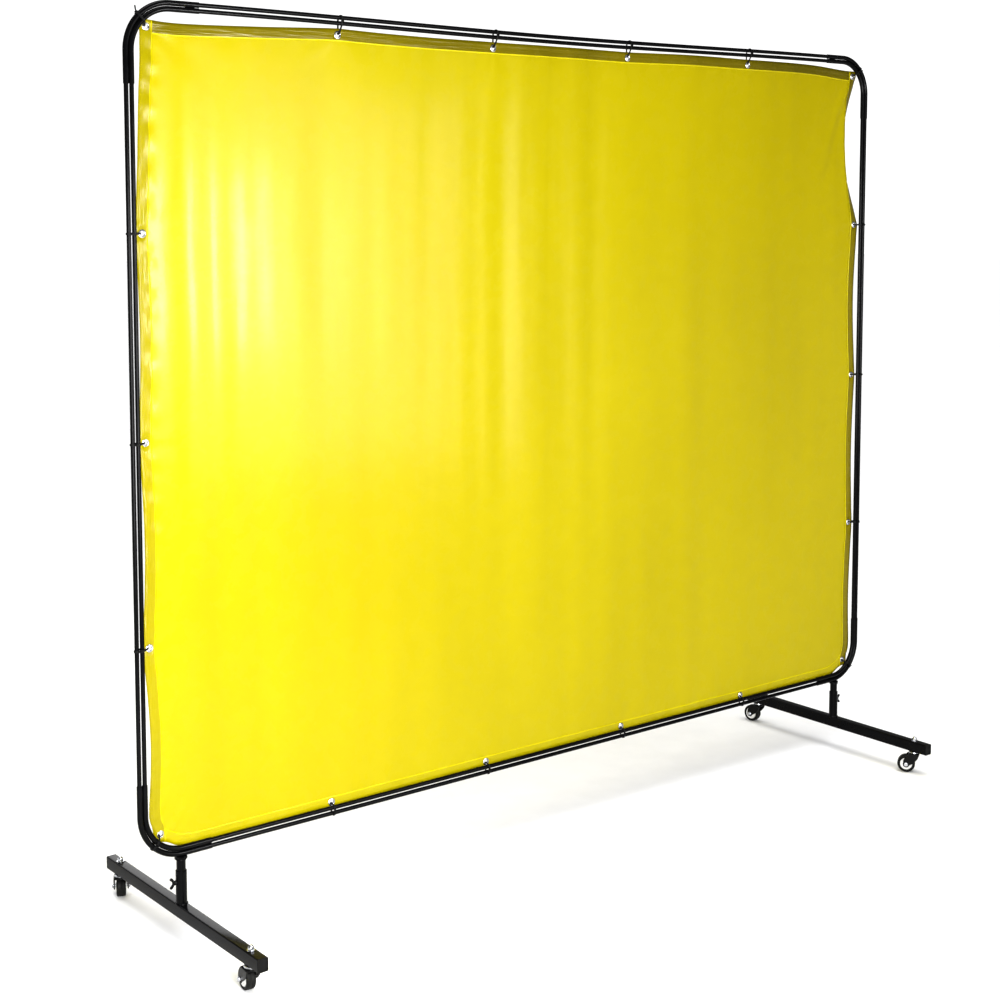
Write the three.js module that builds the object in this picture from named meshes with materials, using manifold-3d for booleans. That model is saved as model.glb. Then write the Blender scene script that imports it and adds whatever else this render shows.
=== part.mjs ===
// Welding curtain screen on casters: a double-tube frame that plugs together at four bent corner
// pieces, a vinyl curtain tied inside it, and two turning feet on swivel casters.
// Millimetres. X runs along the screen, Y from front (-Y) to back, Z up. The origin lies on the
// floor under the centre of the screen.
import * as THREE from "three";
import { mergeVertices } from "three/addons/utils/BufferGeometryUtils.js";
import Module from "manifold-3d";

const wasm = await Module();
wasm.setup();

// ---- driving dimensions ----
const FRAME_WIDTH = 2400; // over the outer tubes
const FRAME_HEIGHT = 1870;
const CORNER_LEG = 180; // from the outer corner to the mouth of a corner piece
const CORNER_OD = 12.4;
const CORNER_BORE = 10.7;
const CORNER_RADIUS = 104; // centreline of the outer bend
const TUBE_OD = 10;
const TUBE_BORE = 7.6;
const TUBE_SPACING = 12.8; // centre to centre
const TUBE_PLUG = 30; // length of a straight tube inside its corner piece
const TOP_SAG = 7; // the long top tubes hang this much at mid span
const SPACER_LENGTH = 22;
const SPACER_THICKNESS = 3;

const POST_INSET = 103; // from the frame's outer edge to a post's axis
const POST_OD = 20.6;
const POST_BORE = 17.6;
const POST_GAP = 107; // between the frame and the foot bar
const POST_BOTTOM_CLEARANCE = 22;
const SOCKET_OD = 25;
const SOCKET_BORE = 22.2;
const SOCKET_HEIGHT = 76;
const SADDLE_LENGTH = 28;
const SADDLE_HEIGHT = 6;
const SADDLE_THICKNESS = 15;

const BAR_LENGTH = 700;
const BAR_WIDTH = 25;
const BAR_HEIGHT = 30;
const BAR_WALL = 1.5;
const BAR_CORNER = 2.5;
const PLUG_LIP = 2;
const PLUG_DEPTH = 14;
const BOLT_HOLE = 9;

const SCREW_HEIGHT = 50; // clamp screw axis above the foot bar
const SCREW_SHANK = 6;
const SCREW_HOLE = 7;
const SCREW_COLLAR = 11;
const SCREW_COLLAR_LENGTH = 6;
const WING_SPAN = 26;
const WING_LENGTH = 13;
const WING_THICKNESS = 3;

const CASTER_INSET = 47; // from the end of a bar to the stem
const CASTER_HEIGHT = 62;
const CASTER_TRAIL = 22;
const WHEEL_RADIUS = 25;
const WHEEL_WIDTH = 22;
const HUB_RADIUS = 17;
const FORK_INNER = 29; // between the fork's legs
const FORK_PLATE = 2.5;
const STEM_RADIUS = 4;
const RACE_RADIUS = 16;
const NUT_RADIUS = 7.4; // to the corners of the hexagon
const NUT_HEIGHT = 6.5;
const RIVET_RADIUS = 6;
const AXLE_RADIUS = 3;
const AXLE_NUT_RADIUS = 5.4;
const AXLE_NUT_HEIGHT = 3;
const AXLE_BOSS = 9; // radius of the fork's end round the axle
const RACE_HEIGHT = 4.2;
const CROWN_RISE = 2.5; // of the race on the fork's top plate
const CROWN_RACE_RADIUS = 14.5;
const CROWN_LENGTH = 31;
const CROWN_CORNER = 5;
const CROWN_SHIFT = 1; // how far the top plate's middle lies behind the stem
const CROWN_SHOULDER = 10;
const RIVET_HEIGHT = 2.4;
const DOME_RADIUS = 5.8;
const DOME_HEIGHT = 5.6;
const HUB_BOSS = 7;
const HUB_PROUD = 2; // how far the hub's boss stands out of the tyre's side
const HUB_RECESS = 1;
const TYRE_EDGE = 3.5;
const TYRE_LIP = 0.6;

const CURTAIN_WIDTH = 2350;
const CURTAIN_HEIGHT = 1825;
const CURTAIN_LIFT = 15; // lower edge above the frame's lower edge
const CURTAIN_FRONT = 7; // the curtain hangs just behind the tubes
const CURTAIN_THICKNESS = 3; // room for the film, its folded hem and its ripples
const CURTAIN_CORNER = 75;
const GROMMET_INSET = 15;
const CORNER_GROMMET = 58; // from the frame's outer corner, both ways
const GROMMET_OD = 18;
const GROMMET_BORE = 11;
const GROMMET_THICKNESS = 3.6;
const TIES_ACROSS = 6;
const TIES_UP = 5;
const TOP_TIE_SHIFTS = [38, 26, 8, -2]; // of the inner top ties from even places, to the right

const TIE_WIDTH = 4.8;
const TIE_THICKNESS = 1.3;
const TIE_HEAD = 7;
const TIE_HEAD_DEPTH = 5;
const TIE_HEAD_WIDTH = 6.4;
const TIE_TAIL = 9;
const TIE_TAIL_WIDTH = 3.8;
const TIE_BACK = 8.9; // how far behind the tubes' axes the band passes the hem
const TIE_EDGE_TURN = 5; // where it turns there, inwards of the outer tube's axis
const TIE_EDGE_RADIUS = 2.2;
const TIE_THROAT = 4; // where it goes through the grommet, outwards of its middle
const TIE_THROAT_RADIUS = 2;

const FIT = 0.3; // gap between touching pieces
const OVERLAP = 0.5; // how far joined shapes run into each other
const TURNING_FIT = 0.7; // radial gap of a faceted bore round a pin that turns in it
const ROUND = 10; // sides of a round tube
const SMALL_ROUND = 8;
const WHEEL_ROUND = 18;
const BEND_STEPS = 6;

// ---- derived places ----
const BAR_BOTTOM = CASTER_HEIGHT;
const BAR_TOP = BAR_BOTTOM + BAR_HEIGHT;
const FRAME_BOTTOM = BAR_TOP + POST_GAP;
const FRAME_TOP = FRAME_BOTTOM + FRAME_HEIGHT;
const HALF_WIDTH = FRAME_WIDTH / 2;
const POST_X = HALF_WIDTH - POST_INSET;
const CASTER_Y = BAR_LENGTH / 2 - CASTER_INSET;
const OUTER_LINE = CORNER_OD / 2; // tube axes, measured inwards from the frame's outer edge
const INNER_LINE = OUTER_LINE + TUBE_SPACING;

// ---- materials ----
function finish(color, roughness, metalness) {
  return new THREE.MeshStandardMaterial({ color, roughness, metalness });
}

const blackPowderCoat = () => finish(0x121212, 0.3, 0.2);
const zincSteel = () => finish(0xc8cacc, 0.3, 1);
const blackPlastic = () => finish(0x151515, 0.55, 0);
const blackRubber = () => finish(0x101010, 0.65, 0);
const greyPlastic = () => finish(0xd9d9d6, 0.45, 0);
const yellowVinyl = () => finish(0xf2dc00, 0.2, 0);

// ---- geometry helpers ----
function solidFrom(geometry) {
  const plain = geometry.clone();
  plain.deleteAttribute("normal");
  plain.deleteAttribute("uv");
  const merged = mergeVertices(plain, 1e-3);
  return new wasm.Manifold(
    new wasm.Mesh({
      numProp: 3,
      vertProperties: new Float32Array(merged.attributes.position.array),
      triVerts: new Uint32Array(merged.index.array),
    }),
  );
}

function geometryFrom(solid) {
  const mesh = solid.getMesh();
  const geometry = new THREE.BufferGeometry();
  geometry.setAttribute("position", new THREE.BufferAttribute(mesh.vertProperties, 3));
  geometry.setIndex(new THREE.BufferAttribute(mesh.triVerts, 1));
  geometry.computeVertexNormals();
  return geometry;
}

function joined(geometries, cuts = []) {
  let solid = solidFrom(geometries[0]);
  for (const geometry of geometries.slice(1)) {
    solid = solid.add(solidFrom(geometry));
  }
  for (const geometry of cuts) {
    solid = solid.subtract(solidFrom(geometry));
  }
  return geometryFrom(solid);
}

function circle(radius, sides = ROUND) {
  const points = [];
  for (let i = 0; i < sides; i += 1) {
    const angle = ((i + 0.5) / sides) * 2 * Math.PI;
    points.push(new THREE.Vector2(radius * Math.cos(angle), radius * Math.sin(angle)));
  }
  return points;
}

function ringShape(outerRadius, innerRadius, sides = ROUND) {
  const shape = new THREE.Shape(circle(outerRadius, sides));
  shape.holes.push(new THREE.Path(circle(innerRadius, sides)));
  return shape;
}

function roundedRectangle(Outline, width, height, radius) {
  const x = width / 2;
  const y = height / 2;
  const outline = new Outline();
  outline.moveTo(radius - x, -y);
  outline.lineTo(x - radius, -y);
  outline.absarc(x - radius, radius - y, radius, -Math.PI / 2, 0, false);
  outline.lineTo(x, y - radius);
  outline.absarc(x - radius, y - radius, radius, 0, Math.PI / 2, false);
  outline.lineTo(radius - x, y);
  outline.absarc(radius - x, y - radius, radius, Math.PI / 2, Math.PI, false);
  outline.lineTo(-x, radius - y);
  outline.absarc(radius - x, radius - y, radius, Math.PI, 1.5 * Math.PI, false);
  return outline;
}

function prism(shape, length, curveSegments = 4) {
  return new THREE.ExtrudeGeometry(shape, { depth: length, bevelEnabled: false, curveSegments });
}

// A cylinder whose axis runs from z = low to z = high.
function rod(radius, low, high, sides = ROUND) {
  return prism(new THREE.Shape(circle(radius, sides)), high - low).translate(0, 0, low);
}

function box(width, depth, height, x = 0, y = 0, z = 0) {
  return new THREE.BoxGeometry(width, depth, height).translate(x, y, z);
}

// A curve that is sampled exactly at the ends of its steps, so straight stretches take one step.
class SteppedCurve extends THREE.Curve {
  constructor(pointAt, tangentAt) {
    super();
    this.pointAt = pointAt;
    this.tangentAt = tangentAt;
  }
  getPoint(t) {
    return this.pointAt(t);
  }
  getPointAt(t) {
    return this.pointAt(t);
  }
  getTangentAt(t) {
    return this.tangentAt(t);
  }
}

function sweep(shape, curve, steps) {
  return new THREE.ExtrudeGeometry(shape, { steps, bevelEnabled: false, extrudePath: curve });
}

function part(name, geometry, material, position = [0, 0, 0], turn = 0) {
  const mesh = new THREE.Mesh(geometry, material);
  mesh.name = name;
  mesh.position.set(...position);
  mesh.rotation.z = turn;
  return mesh;
}

// ---- frame ----
// One bent tube of a corner piece in the XZ plane. The outer corner of the frame is at (0, 0) and
// the legs run along +X and +Z. The line is the tube's distance from the frame's outer edge.
function bentTube(line) {
  const radius = CORNER_RADIUS + OUTER_LINE - line;
  const centre = line + radius;
  const steps = BEND_STEPS + 2;
  function angleAt(t) {
    const along = (t * steps - 1) / BEND_STEPS;
    return Math.PI * (1.5 - 0.5 * Math.min(Math.max(along, 0), 1));
  }
  function pointAt(t) {
    if (t <= 0) {
      return new THREE.Vector3(CORNER_LEG, 0, line);
    }
    if (t >= 1) {
      return new THREE.Vector3(line, 0, CORNER_LEG);
    }
    const angle = angleAt(t);
    return new THREE.Vector3(centre + radius * Math.cos(angle), 0, centre + radius * Math.sin(angle));
  }
  function tangentAt(t) {
    const angle = angleAt(t);
    return new THREE.Vector3(Math.sin(angle), 0, -Math.cos(angle));
  }
  return sweep(ringShape(CORNER_OD / 2, CORNER_BORE / 2), new SteppedCurve(pointAt, tangentAt), steps);
}

// A corner piece: two bent tubes, the welded spacers between them, and on the lower ones the
// saddle and the post that stands in the foot.
function cornerPiece(withPost) {
  const middle = (OUTER_LINE + INNER_LINE) / 2;
  const spacerGap = TUBE_SPACING - CORNER_BORE - 1;
  const spacerPlace = CORNER_LEG - SPACER_LENGTH;
  const pieces = [
    bentTube(OUTER_LINE),
    bentTube(INNER_LINE),
    box(SPACER_LENGTH, SPACER_THICKNESS, spacerGap, spacerPlace, 0, middle),
    box(spacerGap, SPACER_THICKNESS, SPACER_LENGTH, middle, 0, spacerPlace),
  ];
  const cuts = [];
  if (withPost) {
    const postTop = -SADDLE_HEIGHT / 2;
    const postBottom = POST_BOTTOM_CLEARANCE - POST_GAP;
    const saddleTop = (CORNER_OD - CORNER_BORE) / 4; // half-way into the tube's wall
    const saddle = box(SADDLE_LENGTH, SADDLE_THICKNESS, SADDLE_HEIGHT);
    pieces.push(saddle.translate(POST_INSET, 0, saddleTop - SADDLE_HEIGHT / 2));
    pieces.push(rod(POST_OD / 2, postBottom, postTop).translate(POST_INSET, 0, 0));
    cuts.push(rod(POST_BORE / 2, postBottom - 1, -SADDLE_HEIGHT).translate(POST_INSET, 0, 0));
  }
  return joined(pieces, cuts);
}

function mirrored(geometry, flipX, flipZ) {
  let solid = solidFrom(geometry);
  if (flipX) {
    solid = solid.mirror([1, 0, 0]);
  }
  if (flipZ) {
    solid = solid.mirror([0, 0, 1]);
  }
  return geometryFrom(solid);
}

function corners() {
  const group = new THREE.Group();
  for (const [side, atRight] of [["left", false], ["right", true]]) {
    for (const [level, atTop] of [["bottom", false], ["top", true]]) {
      const geometry = mirrored(cornerPiece(!atTop), atRight, atTop);
      const place = [atRight ? HALF_WIDTH : -HALF_WIDTH, 0, atTop ? FRAME_TOP : FRAME_BOTTOM];
      group.add(part(`corner_${level}_${side}`, geometry, blackPowderCoat(), place));
    }
  }
  return group;
}

// A straight tube along +Z from the origin, or one that sags towards +X when a sag is given.
function straightTube(length, sag) {
  const section = ringShape(TUBE_OD / 2, TUBE_BORE / 2);
  if (!sag) {
    return prism(section, length);
  }
  const steps = 8;
  const wave = 2 * Math.PI;
  return sweep(
    section,
    new SteppedCurve(
      (t) => new THREE.Vector3((sag / 2) * (1 - Math.cos(wave * t)), 0, length * t),
      (t) => new THREE.Vector3((sag / 2) * wave * Math.sin(wave * t), 0, length).normalize(),
    ),
    steps,
  );
}

function straightTubes() {
  const group = new THREE.Group();
  const reach = CORNER_LEG - TUBE_PLUG;
  for (const [ring, line] of [["outer", OUTER_LINE], ["inner", INNER_LINE]]) {
    const across = FRAME_WIDTH - 2 * reach;
    const up = FRAME_HEIGHT - 2 * reach;
    for (const [level, z, sag] of [
      ["bottom", FRAME_BOTTOM + line, 0],
      ["top", FRAME_TOP - line, TOP_SAG],
    ]) {
      const geometry = straightTube(across, sag).rotateY(Math.PI / 2);
      group.add(part(`tube_${level}_${ring}`, geometry, blackPowderCoat(), [-across / 2, 0, z]));
    }
    for (const [side, x] of [["left", line - HALF_WIDTH], ["right", HALF_WIDTH - line]]) {
      const place = [x, 0, FRAME_BOTTOM + reach];
      group.add(part(`tube_${side}_${ring}`, straightTube(up, 0), blackPowderCoat(), place));
    }
  }
  return group;
}

// ---- curtain and its ties ----
// Each tie: where its grommet is, the angle of the inward direction in the XZ plane, how far the
// grommet lies from the frame's outer edge along it, and the radius of the tubes it goes round.
function tiePlaces() {
  const places = [];
  const left = -CURTAIN_WIDTH / 2 + GROMMET_INSET;
  const low = FRAME_BOTTOM + CURTAIN_LIFT + GROMMET_INSET;
  const acrossStep = (CURTAIN_WIDTH - 2 * GROMMET_INSET) / (TIES_ACROSS - 1);
  const upStep = (CURTAIN_HEIGHT - 2 * GROMMET_INSET) / (TIES_UP - 1);
  const high = low + upStep * (TIES_UP - 1);
  for (let i = 1; i < TIES_ACROSS - 1; i += 1) {
    const x = left + i * acrossStep;
    places.push({ name: `bottom_${i}`, x, z: low, inward: Math.PI / 2, depth: low - FRAME_BOTTOM });
    const shifted = x + TOP_TIE_SHIFTS[i - 1];
    const z = high - sagAt(shifted);
    places.push({ name: `top_${i}`, x: shifted, z, inward: -Math.PI / 2, depth: FRAME_TOP - high });
  }
  for (let i = 1; i < TIES_UP - 1; i += 1) {
    const z = low + i * upStep;
    places.push({ name: `left_${i}`, x: left, z, inward: 0, depth: left + HALF_WIDTH });
    places.push({ name: `right_${i}`, x: -left, z, inward: Math.PI, depth: left + HALF_WIDTH });
  }
  const arcCentre = CORNER_RADIUS + OUTER_LINE;
  const depth = arcCentre - (arcCentre - CORNER_GROMMET) * Math.SQRT2;
  for (const [side, sx] of [["left", -1], ["right", 1]]) {
    for (const [level, sz] of [["bottom", -1], ["top", 1]]) {
      places.push({
        name: `${level}_${side}`,
        x: sx * (HALF_WIDTH - CORNER_GROMMET),
        z: (FRAME_BOTTOM + FRAME_TOP) / 2 + sz * (FRAME_HEIGHT / 2 - CORNER_GROMMET),
        inward: Math.atan2(-sz, -sx),
        depth,
      });
    }
  }
  return places;
}

function sagAt(x) {
  const length = FRAME_WIDTH - 2 * (CORNER_LEG - TUBE_PLUG);
  return (TOP_SAG / 2) * (1 + Math.cos((2 * Math.PI * x) / length));
}

// A flat slab with its outline in X and Z, standing between two Y planes.
function upright(shape, front, thickness) {
  return prism(shape, thickness, 4).rotateX(Math.PI / 2).translate(0, front + thickness, 0);
}

function curtain() {
  const middle = FRAME_BOTTOM + CURTAIN_LIFT + CURTAIN_HEIGHT / 2;
  const outline = roundedRectangle(THREE.Shape, CURTAIN_WIDTH, CURTAIN_HEIGHT, CURTAIN_CORNER);
  const pieces = [upright(outline, CURTAIN_FRONT, CURTAIN_THICKNESS).translate(0, 0, middle)];
  const bores = [];
  const ringFront = CURTAIN_FRONT + CURTAIN_THICKNESS / 2 - GROMMET_THICKNESS / 2;
  for (const { x, z } of tiePlaces()) {
    const ring = new THREE.Shape(circle(GROMMET_OD / 2, SMALL_ROUND));
    pieces.push(upright(ring, ringFront, GROMMET_THICKNESS).translate(x, 0, z));
    const bore = new THREE.Shape(circle(GROMMET_BORE / 2, SMALL_ROUND));
    bores.push(upright(bore, ringFront - 1, GROMMET_THICKNESS + 2).translate(x, 0, z));
  }
  return part("curtain", joined(pieces, bores), yellowVinyl());
}

// The outline round a set of circles, as a band round them would lie: their convex hull.
function hullOf(circles, extra) {
  const points = [];
  for (const [x, y, radius] of circles) {
    for (const point of circle(radius + extra, SMALL_ROUND)) {
      points.push(point.add(new THREE.Vector2(x, y)));
    }
  }
  points.sort((a, b) => a.x - b.x || a.y - b.y);
  const chain = (list) => {
    const kept = [];
    for (const p of list) {
      while (kept.length > 1) {
        const a = kept[kept.length - 2];
        const b = kept[kept.length - 1];
        const turn = (b.x - a.x) * (p.y - a.y) - (b.y - a.y) * (p.x - a.x);
        if (turn > 1e-6) {
          break;
        }
        kept.pop();
      }
      kept.push(p);
    }
    kept.pop();
    return kept;
  };
  return [...chain(points), ...chain([...points].reverse())];
}

// A cable tie in its own frame: x runs inwards from the frame's outer edge, y to the back, and
// its width lies along z. It goes round both tubes, round the hem's edge and through the grommet.
function tieGeometry(depth) {
  const round = (CORNER_OD / 2 + FIT) / Math.cos(Math.PI / SMALL_ROUND);
  const circles = [
    [OUTER_LINE, 0, round],
    [INNER_LINE, 0, round],
    [OUTER_LINE + TIE_EDGE_TURN, TIE_BACK, TIE_EDGE_RADIUS],
    [depth - TIE_THROAT, TIE_BACK, TIE_THROAT_RADIUS],
  ];
  const band = new THREE.Shape(hullOf(circles, TIE_THICKNESS));
  band.holes.push(new THREE.Path(hullOf(circles, 0)));
  const front = -round - TIE_THICKNESS / 2;
  const headPlace = (OUTER_LINE + INNER_LINE) / 2;
  const head = box(TIE_HEAD, TIE_HEAD_DEPTH, TIE_HEAD_WIDTH, headPlace, front - TIE_HEAD_DEPTH / 2, 0);
  const tailPlace = headPlace - TIE_THICKNESS;
  const tail = box(TIE_THICKNESS, TIE_TAIL, TIE_TAIL_WIDTH, tailPlace, front - TIE_TAIL / 2, 0);
  return joined([prism(band, TIE_WIDTH).translate(0, 0, -TIE_WIDTH / 2), head, tail]);
}

function ties() {
  const group = new THREE.Group();
  for (const { name, x, z, inward, depth } of tiePlaces()) {
    const along = new THREE.Vector3(Math.cos(inward), 0, Math.sin(inward));
    const back = new THREE.Vector3(0, 1, 0);
    const frame = new THREE.Matrix4().makeBasis(along, back, new THREE.Vector3().crossVectors(along, back));
    const mesh = new THREE.Mesh(tieGeometry(depth), blackPlastic());
    mesh.name = `tie_${name}`;
    mesh.quaternion.setFromRotationMatrix(frame);
    mesh.position.set(x - depth * along.x, 0, z - depth * along.z);
    group.add(mesh);
  }
  return group;
}

// ---- feet ----
function footBar() {
  const section = roundedRectangle(THREE.Shape, BAR_WIDTH, BAR_HEIGHT, BAR_CORNER);
  const innerSize = [BAR_WIDTH - 2 * BAR_WALL, BAR_HEIGHT - 2 * BAR_WALL];
  section.holes.push(roundedRectangle(THREE.Path, ...innerSize, BAR_CORNER - 1));
  const bar = prism(section, BAR_LENGTH, 2).rotateX(Math.PI / 2);
  bar.translate(0, BAR_LENGTH / 2, (BAR_BOTTOM + BAR_TOP) / 2);
  const socket = rod(SOCKET_OD / 2, BAR_TOP - BAR_WALL / 2, BAR_TOP + SOCKET_HEIGHT);
  const cuts = [rod(SOCKET_BORE / 2, BAR_TOP + 0.5, BAR_TOP + SOCKET_HEIGHT + 1)];
  const screwHole = rod(SCREW_HOLE / 2, -SOCKET_OD, 0, SMALL_ROUND).rotateY(Math.PI / 2);
  cuts.push(screwHole.translate(0, 0, BAR_TOP + SCREW_HEIGHT));
  for (const y of [-CASTER_Y, CASTER_Y]) {
    cuts.push(rod(BOLT_HOLE / 2, BAR_BOTTOM - 1, BAR_TOP + 1, SMALL_ROUND).translate(0, y, 0));
  }
  return joined([bar, socket], cuts);
}

function endPlug(facing) {
  const lip = prism(roundedRectangle(THREE.Shape, BAR_WIDTH, BAR_HEIGHT, BAR_CORNER), PLUG_LIP, 2);
  const width = BAR_WIDTH - 2 * BAR_WALL - 2 * FIT;
  const height = BAR_HEIGHT - 2 * BAR_WALL - 2 * FIT;
  const tongueShape = roundedRectangle(THREE.Shape, width, height, BAR_CORNER - 1);
  const tongue = prism(tongueShape, PLUG_DEPTH + FIT + 1, 1).translate(0, 0, -PLUG_DEPTH);
  const geometry = joined([lip.translate(0, 0, FIT), tongue]);
  return geometry.rotateX((facing * -Math.PI) / 2).translate(0, (facing * BAR_LENGTH) / 2, 0);
}

// Wing screw with its axis along X, its tip against the post and its wings outside.
function clampScrew() {
  const tip = POST_OD / 2 + FIT;
  const wall = SOCKET_OD / 2 + FIT;
  const shank = rod(SCREW_SHANK / 2, tip, wall + 2, SMALL_ROUND);
  const collar = rod(SCREW_COLLAR / 2, wall, wall + SCREW_COLLAR_LENGTH, SMALL_ROUND);
  const wingShape = new THREE.Shape();
  wingShape.moveTo(-SCREW_COLLAR / 3, 0);
  wingShape.lineTo(SCREW_COLLAR / 3, 0);
  wingShape.lineTo(WING_SPAN / 2, WING_LENGTH * 0.6);
  wingShape.quadraticCurveTo(WING_SPAN / 2, WING_LENGTH, WING_SPAN / 3, WING_LENGTH);
  wingShape.lineTo(0, WING_LENGTH * 0.45);
  wingShape.lineTo(-WING_SPAN / 3, WING_LENGTH);
  wingShape.quadraticCurveTo(-WING_SPAN / 2, WING_LENGTH, -WING_SPAN / 2, WING_LENGTH * 0.6);
  const wings = prism(wingShape, WING_THICKNESS, 3).translate(0, 0, -WING_THICKNESS / 2);
  wings.rotateX(Math.PI / 2).translate(0, 0, wall + SCREW_COLLAR_LENGTH / 2);
  return joined([shank, collar, wings]).rotateY(Math.PI / 2);
}

// ---- casters ----
// Every caster piece is made with the stem's axis at x = y = 0 and its wheel trailing along +X.
const RACE_TOP = CASTER_HEIGHT - FIT;
const RACE_BOTTOM = RACE_TOP - RACE_HEIGHT;
const CROWN_TOP = RACE_BOTTOM - FIT;
const CROWN_PLATE_TOP = CROWN_TOP - CROWN_RISE;
const CROWN_PLATE_BOTTOM = CROWN_PLATE_TOP - FORK_PLATE;

function stemGeometry() {
  const race = rod(RACE_RADIUS, RACE_BOTTOM, RACE_TOP);
  const nutLow = BAR_TOP + FIT;
  const nut = rod(NUT_RADIUS, nutLow, nutLow + NUT_HEIGHT, 6);
  const domeProfile = [
    [0, 0],
    [DOME_RADIUS, 0],
    [DOME_RADIUS * 0.8, DOME_HEIGHT * 0.65],
    [0, DOME_HEIGHT],
  ].map(([radius, height]) => new THREE.Vector2(radius, height));
  const dome = new THREE.LatheGeometry(domeProfile, SMALL_ROUND).rotateX(Math.PI / 2);
  dome.translate(0, 0, nutLow + NUT_HEIGHT - OVERLAP);
  const rivetBottom = CROWN_PLATE_BOTTOM - RIVET_HEIGHT;
  const stem = rod(STEM_RADIUS, rivetBottom + OVERLAP, nutLow + OVERLAP, SMALL_ROUND);
  const rivet = rod(RIVET_RADIUS, rivetBottom, CROWN_PLATE_BOTTOM - FIT, SMALL_ROUND);
  return joined([race, stem, nut, dome, rivet]);
}

function forkLeg() {
  const back = CROWN_SHIFT - CROWN_LENGTH / 2 + FIT;
  const fore = CROWN_SHIFT + CROWN_LENGTH / 2 - FIT;
  const waist = CASTER_TRAIL - AXLE_BOSS;
  const leg = new THREE.Shape();
  leg.moveTo(back, CROWN_PLATE_TOP);
  leg.lineTo(back + CROWN_SHOULDER / 3, CROWN_PLATE_TOP - CROWN_SHOULDER);
  leg.quadraticCurveTo(0, WHEEL_RADIUS + AXLE_RADIUS, waist, WHEEL_RADIUS - AXLE_RADIUS);
  leg.absarc(CASTER_TRAIL, WHEEL_RADIUS, AXLE_BOSS, Math.PI * 1.1, Math.PI * 2.15, false);
  leg.quadraticCurveTo(CASTER_TRAIL + AXLE_BOSS, WHEEL_RADIUS + 2 * AXLE_BOSS, fore, CROWN_PLATE_TOP);
  return prism(leg, FORK_PLATE, 2).rotateX(Math.PI / 2);
}

function forkGeometry() {
  const plateWidth = FORK_INNER + 2 * FORK_PLATE;
  const plateShape = roundedRectangle(THREE.Shape, CROWN_LENGTH, plateWidth, CROWN_CORNER);
  const plate = prism(plateShape, FORK_PLATE, 2).translate(CROWN_SHIFT, 0, CROWN_PLATE_BOTTOM);
  const race = rod(CROWN_RACE_RADIUS, CROWN_PLATE_TOP - OVERLAP, CROWN_TOP);
  const outer = FORK_INNER / 2 + FORK_PLATE;
  const legs = [forkLeg().translate(0, outer, 0), forkLeg().translate(0, -outer + FORK_PLATE, 0)];
  const kingHole = rod(STEM_RADIUS + TURNING_FIT, CROWN_PLATE_BOTTOM - 1, CROWN_TOP + 1, SMALL_ROUND);
  const axleHole = rod(AXLE_RADIUS + FIT, -outer - 1, outer + 1, SMALL_ROUND).rotateX(Math.PI / 2);
  axleHole.translate(CASTER_TRAIL, 0, WHEEL_RADIUS);
  return joined([plate, race, ...legs], [kingHole, axleHole]);
}

function axleGeometry() {
  const face = FORK_INNER / 2 + FORK_PLATE + FIT;
  const shaft = rod(AXLE_RADIUS, -face - OVERLAP, face + OVERLAP, SMALL_ROUND);
  const head = rod(AXLE_NUT_RADIUS, face, face + AXLE_NUT_HEIGHT, 6);
  const nut = rod(AXLE_NUT_RADIUS, -face - AXLE_NUT_HEIGHT, -face, 6);
  return joined([shaft, head, nut]).rotateX(Math.PI / 2).translate(CASTER_TRAIL, 0, WHEEL_RADIUS);
}

function wheelRing(profile) {
  const points = profile.map(([radius, side]) => new THREE.Vector2(radius, side));
  points.push(points[0].clone());
  return new THREE.LatheGeometry(points, WHEEL_ROUND);
}

function onAxle(geometry) {
  return geometry.translate(CASTER_TRAIL, 0, WHEEL_RADIUS);
}

function hubGeometry() {
  const half = WHEEL_WIDTH / 2 + HUB_PROUD;
  const rim = WHEEL_WIDTH / 2 - HUB_RECESS;
  const bore = AXLE_RADIUS + FIT;
  return onAxle(
    wheelRing([
      [bore, -half],
      [HUB_BOSS, -half],
      [HUB_BOSS + 1, HUB_RECESS - rim],
      [HUB_RADIUS, -rim],
      [HUB_RADIUS, rim],
      [HUB_BOSS + 1, rim - HUB_RECESS],
      [HUB_BOSS, half],
      [bore, half],
    ]),
  );
}

function tyreGeometry() {
  const half = WHEEL_WIDTH / 2;
  const inner = HUB_RADIUS + FIT;
  return onAxle(
    wheelRing([
      [inner, TYRE_LIP - half],
      [WHEEL_RADIUS - TYRE_EDGE, -half],
      [WHEEL_RADIUS, TYRE_EDGE - half],
      [WHEEL_RADIUS, half - TYRE_EDGE],
      [WHEEL_RADIUS - TYRE_EDGE, half],
      [inner, half - TYRE_LIP],
    ]),
  );
}

// trail: the direction in which the wheel trails its stem at rest, in degrees from +X.
function caster(name, x, y, trail) {
  const group = new THREE.Group();
  group.add(part(`stem_${name}`, stemGeometry(), zincSteel()));
  const swivel = new THREE.Group();
  swivel.rotation.z = THREE.MathUtils.degToRad(trail);
  swivel.add(part(`fork_${name}`, forkGeometry(), blackPowderCoat()));
  swivel.add(part(`axle_${name}`, axleGeometry(), zincSteel()));
  swivel.add(part(`hub_${name}`, hubGeometry(), greyPlastic()));
  swivel.add(part(`tyre_${name}`, tyreGeometry(), blackRubber()));
  group.add(swivel);
  group.position.set(x, y, 0);
  return group;
}

// Where each caster's wheel trails at rest, in degrees from +X.
const TRAILS = { front_left: 84, front_right: 125, rear_left: 63, rear_right: 100 };

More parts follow.
